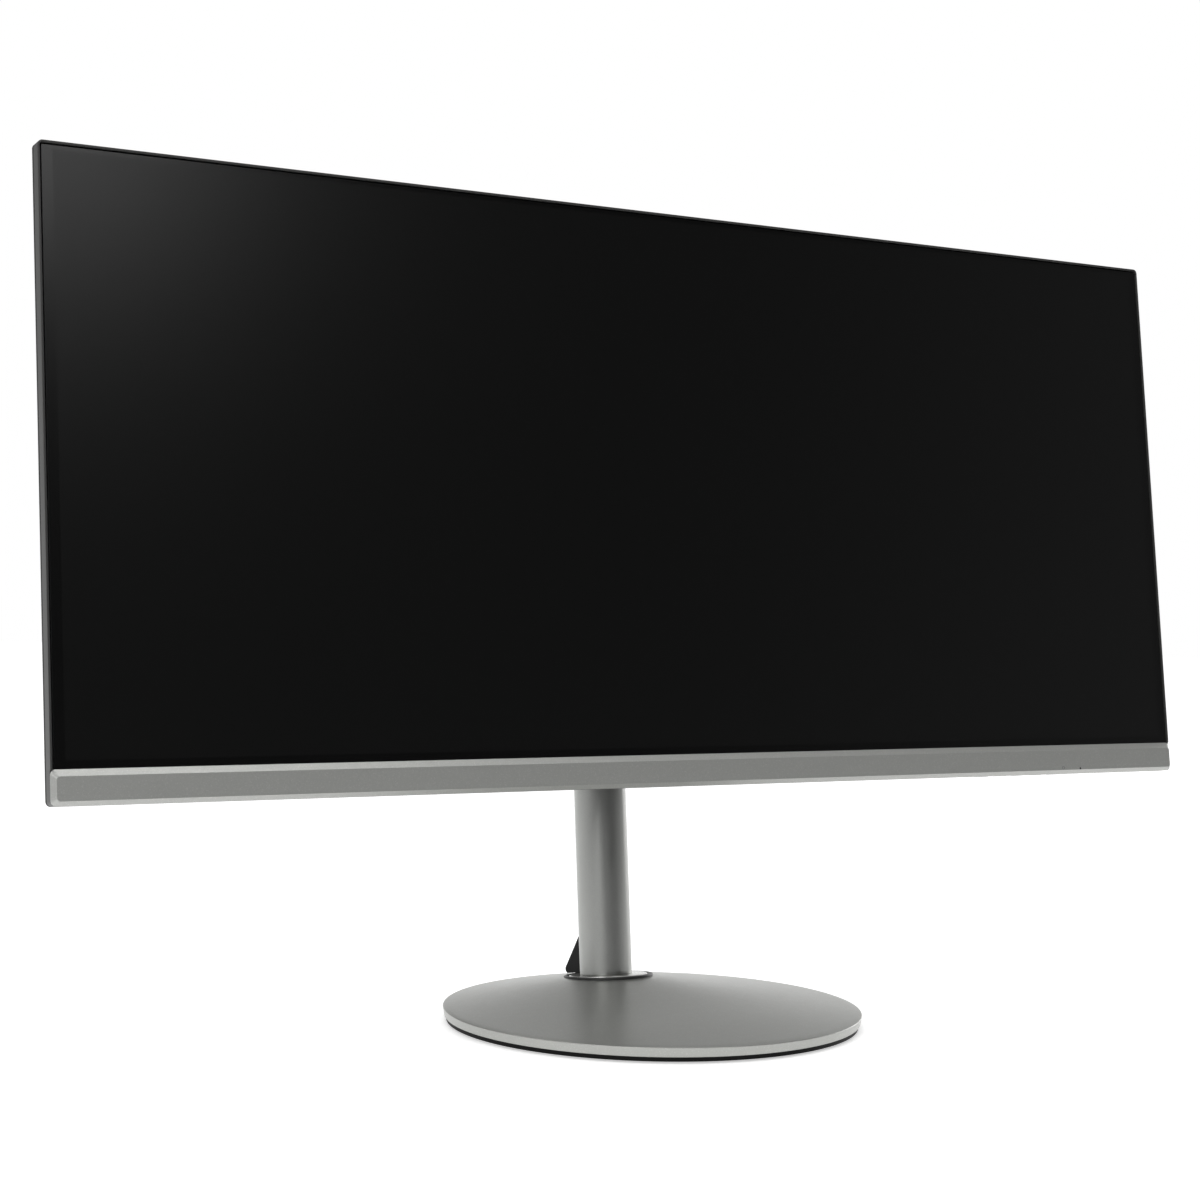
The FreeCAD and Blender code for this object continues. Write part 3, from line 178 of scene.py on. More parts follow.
# every finish: base shade in linear light, then what its grain does
finishes = dict(
    footPaint=dict(
        shade=(0.45, 0.455, 0.435), dark=(0.40, 0.405, 0.385), metal=0.8, rough=0.36, grain=0.00002),
    columnPaint=dict(
        shade=(0.40, 0.405, 0.39), dark=(0.34, 0.345, 0.335), metal=0.92, rough=0.32, grain=0.00001),
    stripPaint=dict(
        shade=(0.47, 0.475, 0.455), dark=(0.40, 0.405, 0.39), metal=0.55, rough=0.42, grain=0.00002),
    plinthPlastic=dict(shade=(0.001, 0.001, 0.001), rough=0.55, shine=0.15, grain=0.00004, scale=1400),
    collarPlastic=dict(shade=(0.018, 0.018, 0.018), rough=0.42, grain=0.00002, scale=1800),
    clipPlastic=dict(shade=(0.003, 0.003, 0.003), rough=0.5, shine=0.12, grain=0.00003, scale=1600),
    shellPlastic=dict(shade=(0.010, 0.010, 0.010), rough=0.52, shine=0.25, grain=0.00006, scale=1100),
    framePlastic=dict(shade=(0.034, 0.034, 0.033), rough=0.4, grain=0.00003, scale=1800),
    keyPlastic=dict(shade=(0.02, 0.02, 0.02), rough=0.4, grain=0.00002, scale=2200),
)


# paint with flakes: how fine each pattern is, how much each counts, and the few flakes lightened as a painted
# glint
flakePlan = dict(flakes=2300.0, fine=2600.0, cloud=22.0, scuff=160.0, flakeShare=0.55, fineShare=0.3,
                 cloudShare=0.15, glintAbove=0.95, paintedGlint=0.14, paintedGlintShade=(0.8, 0.8, 0.78), scuffDepth=0.08,
                 coat=0.08, coatRough=0.25)


def sparklePaint(name, look):
    # metallic paint: tiny flakes of varied brightness under a slightly uneven lacquer
    plan = flakePlan
    finish = Finish(name)
    spot = finish.spot()
    flakes = finish.cells(spot, plan["flakes"], 1)
    flakeShade = finish.split(flakes)[0]
    fine = finish.noise(spot, scale=plan["fine"], detail=2.0)
    cloud = finish.noise(spot, scale=plan["cloud"], detail=4.0)
    mix = flakeShade * plan["flakeShare"] + fine * plan["fineShare"] + cloud * plan["cloudShare"]
    shade = finish.colour(mix, look["dark"], look["shade"])
    # a few random flakes are mixed towards a light shade: a painted glint (they are also made a little less
    # rough)
    paintedGlint = (flakeShade > plan["glintAbove"]) * plan["paintedGlint"]
    shade = finish.colour(paintedGlint, shade, plan["paintedGlintShade"])
    scuff = finish.noise(finish.stretch(spot, (1.0, 1.0, 3.0)), scale=plan["scuff"], detail=5.0)
    rough = look["rough"] + (scuff - 0.5) * plan["scuffDepth"] - paintedGlint * 0.2
    normal = finish.bump(fine + flakeShade * 0.5, depth=look["grain"], strength=0.25)
    return finish.done({"Base Color": shade, "Metallic": look["metal"], "Roughness": rough, "Normal": normal,
                        "Coat Weight": plan["coat"], "Coat Roughness": plan["coatRough"]})


# the drawn tube: how fine each pattern is, how far the grain is drawn out, how much each counts
tubePlan = dict(grain=2200.0, drawn=0.03, flakes=2400.0, cloud=30.0, marks=90.0, grainShare=0.4,
                flakeShare=0.35, cloudShare=0.25, markDepth=0.14)


def columnPaint(name, look):
    # satin silver on a drawn tube: a faint grain along it, fine flakes, and light handling marks
    plan = tubePlan
    finish = Finish(name)
    spot = finish.spot()
    grain = finish.noise(finish.stretch(spot, (1.0, 1.0, plan["drawn"])), scale=plan["grain"], detail=3.0)
    flakes = finish.split(finish.cells(spot, plan["flakes"], 1))[0]
    cloud = finish.noise(spot, scale=plan["cloud"], detail=3.0)
    mix = grain * plan["grainShare"] + flakes * plan["flakeShare"] + cloud * plan["cloudShare"]
    shade = finish.colour(mix, look["dark"], look["shade"])
    long = finish.stretch(spot, (1.0, 1.0, 0.4))
    marks = finish.noise(long, scale=plan["marks"], detail=6.0, roughness=0.6)
    rough = look["rough"] + (marks - 0.5) * plan["markDepth"]
    normal = finish.bump(grain + flakes * 0.4, depth=look["grain"], strength=0.4)
    return finish.done({"Base Color": shade, "Metallic": look["metal"], "Roughness": rough, "Normal": normal})


def grainedPlastic(name, look):
    # moulded plastic with a spark-eroded grain, shinier where it is handled
    finish = Finish(name)
    spot = finish.spot()
    grain = finish.noise(spot, scale=look["scale"], detail=3.0, roughness=0.6)
    pits = finish.cells(spot, look["scale"] * 0.8)
    cloud = finish.noise(spot, scale=14.0, detail=4.0)
    lighter = tuple(part * 1.5 + 0.002 for part in look["shade"])
    shade = finish.colour(grain * 0.6 + cloud * 0.4, look["shade"], lighter)
    rough = look["rough"] + (cloud - 0.5) * 0.16 + (grain - 0.5) * 0.1
    normal = finish.bump(grain + pits * 0.5, depth=look["grain"], strength=0.6)
    return finish.done({"Base Color": shade, "Roughness": rough, "Normal": normal, "IOR": 1.49,
                        "Specular IOR Level": look.get("shine", 0.5)})


def turnedMetal(name, shade, rough, centre):
    # rings left by the lathe around the leaning swivel axis
    finish = Finish(name)
    x, y, z = finish.split(finish.spot())
    across = x - centre.x
    along = (y - centre.y) * cos(lean) - (z - centre.z) * sin(lean)
    radius = (across * across + along * along) ** 0.5
    rings = finish.noise(finish.join(radius * 9000.0, z * 9000.0, 0.0), scale=1.0, detail=2.0)
    haze = finish.noise(finish.join(x, y, z), scale=60.0, detail=4.0)
    base = finish.colour(rings, tuple(part * 0.72 for part in shade), shade)
    normal = finish.bump(rings, depth=0.000006, strength=0.5)
    uneven = rough + (haze - 0.5) * 0.15 + rings * 0.06
    return finish.done({"Base Color": base, "Metallic": 1.0, "Roughness": uneven, "Normal": normal})


def platedSteel(name, shade, rough, dust=0.1):
    # sheet or bar metal: rolled grain, blotches in the plating
    finish = Finish(name)
    spot = finish.spot()
    grain = finish.noise(finish.stretch(spot, (0.05, 1.0, 1.0)), scale=1500.0, detail=3.0)
    blotch = finish.noise(spot, scale=70.0, detail=5.0, roughness=0.6)
    base = finish.colour(blotch * 0.7 + grain * 0.3, tuple(part * 0.6 for part in shade), shade)
    normal = finish.bump(grain, depth=0.00001, strength=0.4)
    uneven = rough + (blotch - 0.5) * 0.2 + grain * dust
    return finish.done({"Base Color": base, "Metallic": 0.95, "Roughness": uneven, "Normal": normal})


def castMetal(name, shade, rough):
    # painted casting with a coarse skin
    finish = Finish(name)
    spot = finish.spot()
    skin = finish.noise(spot, scale=650.0, detail=5.0, roughness=0.65)
    blotch = finish.noise(spot, scale=40.0, detail=3.0)
    base = finish.colour(blotch, shade, tuple(part * 1.7 for part in shade))
    normal = finish.bump(skin, depth=0.0001, strength=0.5)
    uneven = rough + (skin - 0.5) * 0.25
    return finish.done({"Base Color": base, "Metallic": 0.35, "Roughness": uneven, "Normal": normal})


def rubber(name):
    finish = Finish(name)
    spot = finish.spot()
    grain = finish.noise(spot, scale=900.0, detail=4.0, roughness=0.7)
    dust = finish.noise(spot, scale=120.0, detail=4.0)
    base = finish.colour(dust, (0.012, 0.012, 0.012), (0.04, 0.039, 0.037))
    normal = finish.bump(grain, depth=0.00008, strength=0.6)
    return finish.done({"Base Color": base, "Roughness": 0.75 + dust * 0.15, "Normal": normal})


# the picture area inside the black border, from the lower edge of the head
screenPlan = dict(pictureWidth=0.7998, pictureLow=0.0245, pictureHigh=0.3593)


def screenFilm(name):
    # matt film over a dark panel; the picture area is a shade lighter than its border
    finish = Finish(name)
    spot = finish.spot()
    x, y, z = finish.split(spot)
    rise = z * cos(tilt) + y * sin(tilt)
    foot = headFrame.translation
    up = rise - (foot.z * cos(tilt) + foot.y * sin(tilt))
    inside = (x.size() < screenPlan["pictureWidth"] / 2) * (up > screenPlan["pictureLow"])
    inside = inside * (up < screenPlan["pictureHigh"])
    haze = finish.noise(spot, scale=2600.0, detail=2.0, roughness=0.7)
    cloud = finish.noise(spot, scale=5.0, detail=3.0)
    base = finish.colour(inside, (0.003, 0.003, 0.003), (0.0045, 0.0046, 0.0045))
    rough = 0.22 + inside * 0.03 + (cloud - 0.5) * 0.02 + (haze - 0.5) * 0.04
    normal = finish.bump(haze, depth=0.000012, strength=0.25)
    return finish.done({"Base Color": base, "Roughness": rough, "Normal": normal, "IOR": 1.46,
                        "Specular IOR Level": 0.42})


def clearPlastic(name, shade):
    finish = Finish(name)
    spot = finish.spot()
    haze = finish.noise(spot, scale=400.0, detail=3.0)
    base = finish.colour(haze, tuple(part * 0.8 for part in shade), shade)
    return finish.done({
        "Base Color": base, "Roughness": 0.12 + haze * 0.15, "Transmission Weight": 0.6, "IOR": 1.49,
        "Normal": finish.bump(haze, depth=0.00001, strength=0.2),
    })


def circuitBoard(name):
    # green solder mask with copper traces just showing
    finish = Finish(name)
    spot = finish.spot()
    x, y, z = finish.split(spot)
    tracks = finish.add("ShaderNodeTexBrick", None, {
        "Vector": finish.join(x, z, 0.0), "Color1": (1, 1, 1, 1), "Color2": (0.6, 0.6, 0.6, 1),
        "Mortar": (0, 0, 0, 1), "Scale": 260.0, "Mortar Size": 0.06})
    line = finish.split(tracks)[0]
    cloud = finish.noise(spot, scale=90.0, detail=4.0)
    base = finish.colour(line, (0.05, 0.16, 0.05), (0.008, 0.055, 0.02))
    base = finish.colour(cloud * 0.3, base, (0.02, 0.09, 0.05))
    normal = finish.bump(line, depth=0.00003, strength=0.4)
    return finish.done({"Base Color": base, "Roughness": 0.35 + cloud * 0.15, "Normal": normal})


def brushedWhite(name, shade, rough):
    # plain light plastics: acetal, white films
    finish = Finish(name)
    spot = finish.spot()
    grain = finish.noise(spot, scale=700.0, detail=4.0)
    cloud = finish.noise(spot, scale=25.0, detail=3.0)
    base = finish.colour(cloud, tuple(part * 0.85 for part in shade), shade)
    return finish.done({"Base Color": base, "Roughness": rough + (grain - 0.5) * 0.2,
                        "Normal": finish.bump(grain, depth=0.00003, strength=0.3)})


paint = dict(
    foot=sparklePaint("foot silver paint", finishes["footPaint"]),
    strip=sparklePaint("strip silver paint", finishes["stripPaint"]),
    column=columnPaint("column satin silver", finishes["columnPaint"]),
    plinth=grainedPlastic("plinth black plastic", finishes["plinthPlastic"]),
    collar=grainedPlastic("collar dark plastic", finishes["collarPlastic"]),
    clip=grainedPlastic("clip black plastic", finishes["clipPlastic"]),
    shell=grainedPlastic("shell textured plastic", finishes["shellPlastic"]),
    edge=grainedPlastic("frame black plastic", finishes["framePlastic"]),
    key=grainedPlastic("key black plastic", finishes["keyPlastic"]),
    ring=turnedMetal("turned light ring", (0.72, 0.72, 0.70), 0.26, swivelSpot),
    bolt=turnedMetal("turned steel", (0.6, 0.6, 0.6), 0.3, swivelSpot),
    plate=platedSteel("zinc plated sheet", (0.55, 0.55, 0.56), 0.38),
    blackSteel=platedSteel("black oxide screws", (0.05, 0.05, 0.052), 0.34),
    blackPlate=platedSteel("black coated bracket", (0.035, 0.035, 0.036), 0.42),
    nickel=platedSteel("nickel plated sockets", (0.66, 0.65, 0.62), 0.24, 0.05),
    gold=platedSteel("gilt contacts", (0.75, 0.56, 0.25), 0.25, 0.05),
    spring=platedSteel("blued spring strip", (0.28, 0.31, 0.36), 0.3, 0.05),
    casting=castMetal("black casting", (0.03, 0.03, 0.03), 0.5),
    rubber=rubber("foot rubber"),
    screen=screenFilm("matt screen film"),
    lens=clearPlastic("light lens", (0.12, 0.13, 0.13)),
    acrylic=clearPlastic("light guide acrylic", (0.85, 0.87, 0.88)),
    board=circuitBoard("green circuit board"),
    white=brushedWhite("white film", (0.85, 0.85, 0.84), 0.5),
    acetal=brushedWhite("acetal guides", (0.78, 0.77, 0.72), 0.45),
    print=brushedWhite("grey printed sign", (0.11, 0.11, 0.11), 0.5),
)

print("stage: mesh tools")


def asPiece(name, mesh, finish, node, extra=()):
    # a finished mesh, already in place, that stands for one CAD node or more
    piece = bpy.data.objects.new(name, mesh)
    bpy.context.scene.collection.objects.link(piece)
    mesh.materials.clear()
    mesh.materials.append(finish)
    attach(piece, homeOf[node])
    next(row["material_slot"] for row in record["subparts"] if row["node"] == node)
    if extra is not None:
        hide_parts(node, *extra)
    return piece


def soften(mesh, width, angle=32, segments=2, shade=50):
    # rounds the sharp edges of a closed mesh with a live bevel, then makes it plain
    holder = bpy.data.objects.new("holder", mesh)
    bpy.context.scene.collection.objects.link(holder)
    bevel = holder.modifiers.new("edges", "BEVEL")
    bevel.width = width
    bevel.segments = segments
    bevel.limit_method = "ANGLE"
    bevel.angle_limit = radians(angle)
    bevel.use_clamp_overlap = True
    result = plain(holder)
    smooth(result, shade)
    holder.modifiers.clear()
    holder.data = result
    even = holder.modifiers.new("even", "WEIGHTED_NORMAL")    # keeps wide faces looking flat
    even.keep_sharp = True
    result = plain(holder)
    bpy.data.objects.remove(holder)
    return result


def plain(holder):
    # the evaluated object as a mesh with no modifiers
    bpy.context.view_layer.update()
    graph = bpy.context.evaluated_depsgraph_get()
    return bpy.data.meshes.new_from_object(holder.evaluated_get(graph))


def smooth(mesh, angle):
    mesh.shade_smooth()
    mesh.set_sharp_from_angle(angle=radians(angle))


def meshFrom(name, build):
    mesh = bpy.data.meshes.new(name)
    bmesh.ops.recalc_face_normals(build, faces=build.faces)
    build.to_mesh(mesh)
    build.free()
    return mesh


def copyOf(node):
    # a CAD node's mesh with its loose triangles merged into whole faces
    build = bmesh.new()
    build.from_mesh(nodes[node].data)
    near = 0.000003
    flat = radians(0.6)
    bmesh.ops.remove_doubles(build, verts=build.verts, dist=near)
    bmesh.ops.dissolve_degenerate(build, edges=build.edges, dist=near)
    bmesh.ops.dissolve_limit(build, angle_limit=flat, verts=build.verts, edges=build.edges)
    mesh = bpy.data.meshes.new(node + "Copy")
    build.to_mesh(mesh)
    build.free()
    return mesh


def softCopy(name, node, finish, width, segments=2, angle=32):
    # a CAD node copied, its sharp edges rounded by a width in metres
    return asPiece(name, soften(copyOf(node), width, angle, segments), paint[finish], node)


def ringLoft(name, rings, steps, place, closed=True, capped=False):
    # joins circles into one skin, each (x, y, z, radius) and how far its back dips;
    # closed joins the last to the first
    build = bmesh.new()
    loops = []
    for x, y, z, radius, *dips in rings:
        dip = dips[0] if dips else 0
        loop = []
        for step in range(steps):
            turn = 2 * pi * step / steps
            spot = (x + radius * cos(turn), y + radius * sin(turn), z - dip * sin(turn))
            loop.append(build.verts.new(place @ Vector(spot)))
        loops.append(loop)
    pairs = list(zip(loops, loops[1:]))
    if closed:
        pairs.append((loops[-1], loops[0]))
    for low, high in pairs:
        for step in range(steps):
            after = (step + 1) % steps
            build.faces.new((low[step], low[after], high[after], high[step]))
    if capped:
        build.faces.new(loops[0])
        build.faces.new(loops[-1])
    mesh = meshFrom(name, build)
    smooth(mesh, angle=30)
    return mesh


def roundedTurn(points, radius, parts=4):
    # a closed outline of (radius, height) points with every corner rounded
    result = []
    count = len(points)
    for number, point in enumerate(points):
        here = Vector(point)
        before = Vector(points[number - 1]) - here
        after = Vector(points[(number + 1) % count]) - here
        reach = min(radius, before.length * 0.45, after.length * 0.45)
        start = here + before.normalized() * reach
        end = here + after.normalized() * reach
        for part in range(parts + 1):
            t = part / parts
            bent = start * (1 - t) ** 2 + here * (2 * t * (1 - t)) + end * t ** 2
            result.append((bent.x, bent.y))
    return result


def turnedPiece(name, points, radius, steps, place, finish, node):
    rings = [(0.0, 0.0, z, r) for r, z in roundedTurn(points, radius)]
    return asPiece(name, ringLoft(name, rings, steps, place), finish, node)


print("stage: round foot")

# radii and heights of the foot and its hollow, the rim's edges, then the cone's start and its rows
footPlan = dict(rim=0.1332, rimUnder=0.1322, rimLow=0.0036, rimHigh=0.0093, seatRadius=0.0293,
                bore=0.0277, hollow=0.1216, roof=0.0078, underEdge=0.0003, edge=0.0005, edgeRows=5,
                edgeDraft=0.18, edgeIn=0.00005, coneFrom=0.006, coneRows=24, mouthDrop=0.0001, steps=288)


def makeFoot():
    # a low rim, then a skew cone up to the collar's leaning seat behind the middle
    plan = footPlan
    back = swivelSpot.y
    seat = swivelSpot.z
    dip = sin(radians(standPlan["seatLean"]))
    edge = plan["edge"]
    rings = [
        (0, 0, plan["rimLow"], plan["hollow"]),
        (0, 0, plan["rimLow"], plan["rimUnder"] - plan["underEdge"]),
        (0, 0, plan["rimLow"] + plan["underEdge"], plan["rimUnder"]),
        (0, 0, plan["rimHigh"] - edge, plan["rim"] - edge * plan["edgeDraft"]),
    ]
    for part in range(1, plan["edgeRows"]):
        turn = part / plan["edgeRows"] * (pi / 2)
        rings.append((0, 0, plan["rimHigh"] - edge * (1 - sin(turn)),
                      plan["rim"] - edge * (1 - cos(turn)) - plan["edgeIn"]))
    for part in range(plan["coneRows"] + 1):
        share = plan["coneFrom"] + (1 - plan["coneFrom"]) * part / plan["coneRows"]
        rings.append((0, back * share, plan["rimHigh"] + (seat - plan["rimHigh"]) * share,
                      plan["rim"] * (1 - share) + plan["seatRadius"] * share,
                      plan["seatRadius"] * dip * share))
    rings.append((0, back, seat - plan["mouthDrop"], plan["bore"], plan["bore"] * dip))
    rings.append((0, back - (seat - plan["roof"]) * sin(lean), plan["roof"], plan["bore"]))
    rings.append((0, 0, plan["roof"], plan["hollow"]))
    mesh = ringLoft("footDisc", rings, plan["steps"], Matrix.Identity(4))
    return asPiece("footDisc", mesh, paint["foot"], "base_plate")


makeFoot()
softCopy("plinth", "base_bottom_cover", "plinth", width=0.0003)
softCopy("rubberFeet", "rubber_feet", "rubber", width=0.0005, segments=3)

print("stage: swivel and column")

# radii and heights of the collar's cup and of the light ring in it, then their edges
swivelPlan = dict(spindle=0.0082, floorLow=0.009, floorHigh=0.012, socket=0.0276, collar=0.0293,
                  collarTop=0.0215, bore=0.0263, disc=0.0260, discLow=0.0128, discTop=0.0217,
                  shaft=0.007, collarEdge=0.0005, discEdge=0.0008, rounding=0.0003, steps=160)


def makeSwivel():
    plan = swivelPlan
    seat = standPlan["seat"]
    cup = [
        (plan["spindle"], plan["floorLow"]), (plan["socket"], plan["floorLow"]), (plan["socket"], seat),
        (plan["collar"], seat), (plan["collar"], plan["collarTop"] - plan["collarEdge"]),
        (plan["collar"] - plan["collarEdge"], plan["collarTop"]),
        (plan["bore"], plan["collarTop"]), (plan["bore"], plan["floorHigh"]),
        (plan["spindle"], plan["floorHigh"]),
    ]
    # the ring's underside follows the seat, so it is thickest in front
    wedge = sin(lean - radians(standPlan["seatLean"]))
    rings = []
    near = 0.0004    # how close a corner's rounding stays to its corner
    for radius, height in roundedTurn(cup, plan["rounding"]):
        under = radius > plan["socket"] - near / 2 and abs(height - seat) < near
        rings.append((0, 0, height, radius, -radius * wedge if under else 0))
    mesh = ringLoft("collarCup", rings, plan["steps"], swivelFrame)
    asPiece("collarCup", mesh, paint["collar"], "swivel_socket")
    disc = [
        (plan["shaft"], plan["discLow"]), (plan["disc"], plan["discLow"]),
        (plan["disc"], plan["discTop"] - plan["discEdge"]),
        (plan["disc"] - plan["discEdge"], plan["discTop"]), (plan["shaft"], plan["discTop"]),
    ]
    turnedPiece("turntableDisc", disc, plan["rounding"], plan["steps"], swivelFrame, paint["ring"],
                "turntable")


# the tube and its slot, the heights of its rows of faces, then the cap on top
columnPlan = dict(radius=0.0171, wall=0.0028, top=0.378, foot=0.0217, slotHalf=0.0075, slotLow=0.17836,
                  slotHigh=0.35036, steps=144, slotSteps=8, lowRows=(0.06, 0.12), slotRows=(0.235, 0.295),
                  edge=0.00025, capHeight=0.006, capCrown=0.0024, capGap=0.0001, capPlug=0.01,
                  capFlat=0.004, capSteps=96, crownRows=8)


def makeTube():
    # an outer skin with the arm's slot left open at the front, given a wall afterwards
    plan = columnPlan
    gap = asin(plan["slotHalf"] / plan["radius"])
    front = -pi / 2
    across = plan["slotSteps"]
    rest = plan["steps"] - across
    turns = [front - gap + 2 * gap * part / across for part in range(across + 1)]
    turns += [front + gap + (2 * pi - 2 * gap) * part / rest for part in range(1, rest)]
    heights = [plan["foot"], *plan["lowRows"], plan["slotLow"], *plan["slotRows"], plan["slotHigh"],
               plan["top"]]
    build = bmesh.new()
    grid = []
    for height in heights:
        row = []
        for turn in turns:
            x = plan["radius"] * cos(turn)
            y = plan["radius"] * sin(turn)
            row.append(build.verts.new(columnFrame @ Vector((x, y, height))))
        grid.append(row)
    count = len(turns)
    for level in range(len(heights) - 1):
        slotted = plan["slotLow"] <= heights[level] < plan["slotHigh"]
        for step in range(count):
            if slotted and step < across:
                continue
            after = (step + 1) % count
            low, high = grid[level], grid[level + 1]
            build.faces.new((low[step], low[after], high[after], high[step]))
    mesh = meshFrom("columnTube", build)
    holder = bpy.data.objects.new("holder", mesh)
    bpy.context.scene.collection.objects.link(holder)
    wall = holder.modifiers.new("wall", "SOLIDIFY")
    wall.thickness = plan["wall"]
    wall.offset = -1.0
    wall.use_even_offset = True
    mesh = plain(holder)
    bpy.data.objects.remove(holder)
    return asPiece("columnTube", soften(mesh, plan["edge"], angle=50), paint["column"], "column_tube")


def makeCap():
    plan = columnPlan
    top = plan["top"] + plan["capHeight"]
    crown = plan["capCrown"]
    bore = plan["radius"] - plan["wall"]
    edge = plan["radius"] - plan["capGap"]
    points = [
        (bore, plan["top"] - plan["capPlug"]), (bore, plan["top"]), (edge, plan["top"]),
        (edge, top - crown),
    ]
    for part in range(1, plan["crownRows"] + 1):
        turn = part / plan["crownRows"] * pi / 2
        points.append((edge - crown * (1 - cos(turn)), top - crown * (1 - sin(turn))))
    points.append((plan["capFlat"], top))
    rings = [(0, 0, z, r) for r, z in points]
    mesh = ringLoft("columnCap", rings, plan["capSteps"], columnFrame, closed=False, capped=True)
    return asPiece("columnCap", mesh, paint["clip"], "column_cap")


makeSwivel()
makeTube()
makeCap()
softCopy("cableClip", "cable_clip", "clip", width=0.0006, segments=3)
softCopy("hingeShroud", "hinge_cover", "clip", width=0.0006, segments=3)
softCopy("tiltYoke", "tilt_yoke", "casting", width=0.0005)
softCopy("tiltBracket", "tilt_bracket", "blackPlate", width=0.0004)
softCopy("standPlate", "vesa_plate", "blackPlate", width=0.0005)

print("stage: head")

softCopy("rearShell", "rear_cover", "shell", width=0.0004, angle=30)
softCopy("screenFrame", "middle_frame", "edge", width=0.00025)
softCopy("silverStrip", "chin_trim", "strip", width=0.0002)
softCopy("screenPanel", "lcd_glass", "screen", width=0.0002)
softCopy("statusLight", "status_led", "lens", width=0.0001)
softCopy("powerKey", "power_button", "key", width=0.0003)
for number in range(1, 5):
    softCopy(f"menuKey{number}", f"menu_button_{number}", "key", width=0.0003)

# small printed power sign: where it stands on the strip, its ring and stroke
signPlan = dict(x=0.305, front=-0.00252, up=0.0041, ring=0.0010, stroke=0.00026, opening=35,
                strokeFrom=0.1, strokeTo=1.2, steps=28)


def makeSign():
    plan = signPlan
    build = bmesh.new()
    first = radians(90 + plan["opening"])
    sweep = radians(360 - 2 * plan["opening"])
    rows = []
    for step in range(plan["steps"] + 1):
        turn = first + sweep * step / plan["steps"]
        row = []
        for radius in (plan["ring"] - plan["stroke"] / 2, plan["ring"] + plan["stroke"] / 2):
            spot = Vector((plan["x"] + radius * cos(turn), plan["front"], plan["up"] + radius * sin(turn)))
            row.append(build.verts.new(headFrame @ spot))
        rows.append(row)
    for row, after in zip(rows, rows[1:]):
        build.faces.new((row[0], row[1], after[1], after[0]))
    half = plan["stroke"] / 2
    low = plan["up"] + plan["ring"] * plan["strokeFrom"]
    high = plan["up"] + plan["ring"] * plan["strokeTo"]
    corners = [(-half, low), (half, low), (half, high), (-half, high)]
    build.faces.new([
        build.verts.new(headFrame @ Vector((plan["x"] + x, plan["front"], z))) for x, z in corners
    ])
    mesh = bpy.data.meshes.new("powerSign")
    for face in build.faces:
        face.normal_update()
        if face.normal.y > 0:
            face.normal_flip()
    build.to_mesh(mesh)
    build.free()
    asPiece("powerSign", mesh, paint["print"], "chin_trim", None)


makeSign()

print("stage: screws")

# head radius, head height, shank radius, shank length and key size of each set, in metres; then where they
# stand: places across, depth behind the front (ahead of the column for the yoke), places up
hinge = headPlan["hingeUp"]
screwPlans = dict(
    vesa_screws=dict(head=0.0039, rise=0.0022, shank=0.002, length=0.0119, key=0.0030, deep=0.0014,
                     across=(-0.05, 0.05), back=0.049, up=(hinge - 0.05, hinge + 0.05)),
    cover_screws=dict(head=0.0032, rise=0.0018, shank=0.0015, length=0.008, key=0.0024, deep=0.0011,
                      across=(-0.196, 0.196), back=0.050, up=(0.100, 0.262)),
    yoke_screws=dict(head=0.0034, rise=0.0034, shank=0.0012, length=0.001, key=0.0032, deep=0.0018,
                     across=(0,), back=-0.0272, up=(0.30886, 0.33986)),
)


def link(tree, source, out, target, into):
    tree.links.new(source.outputs[out], target.inputs[into])


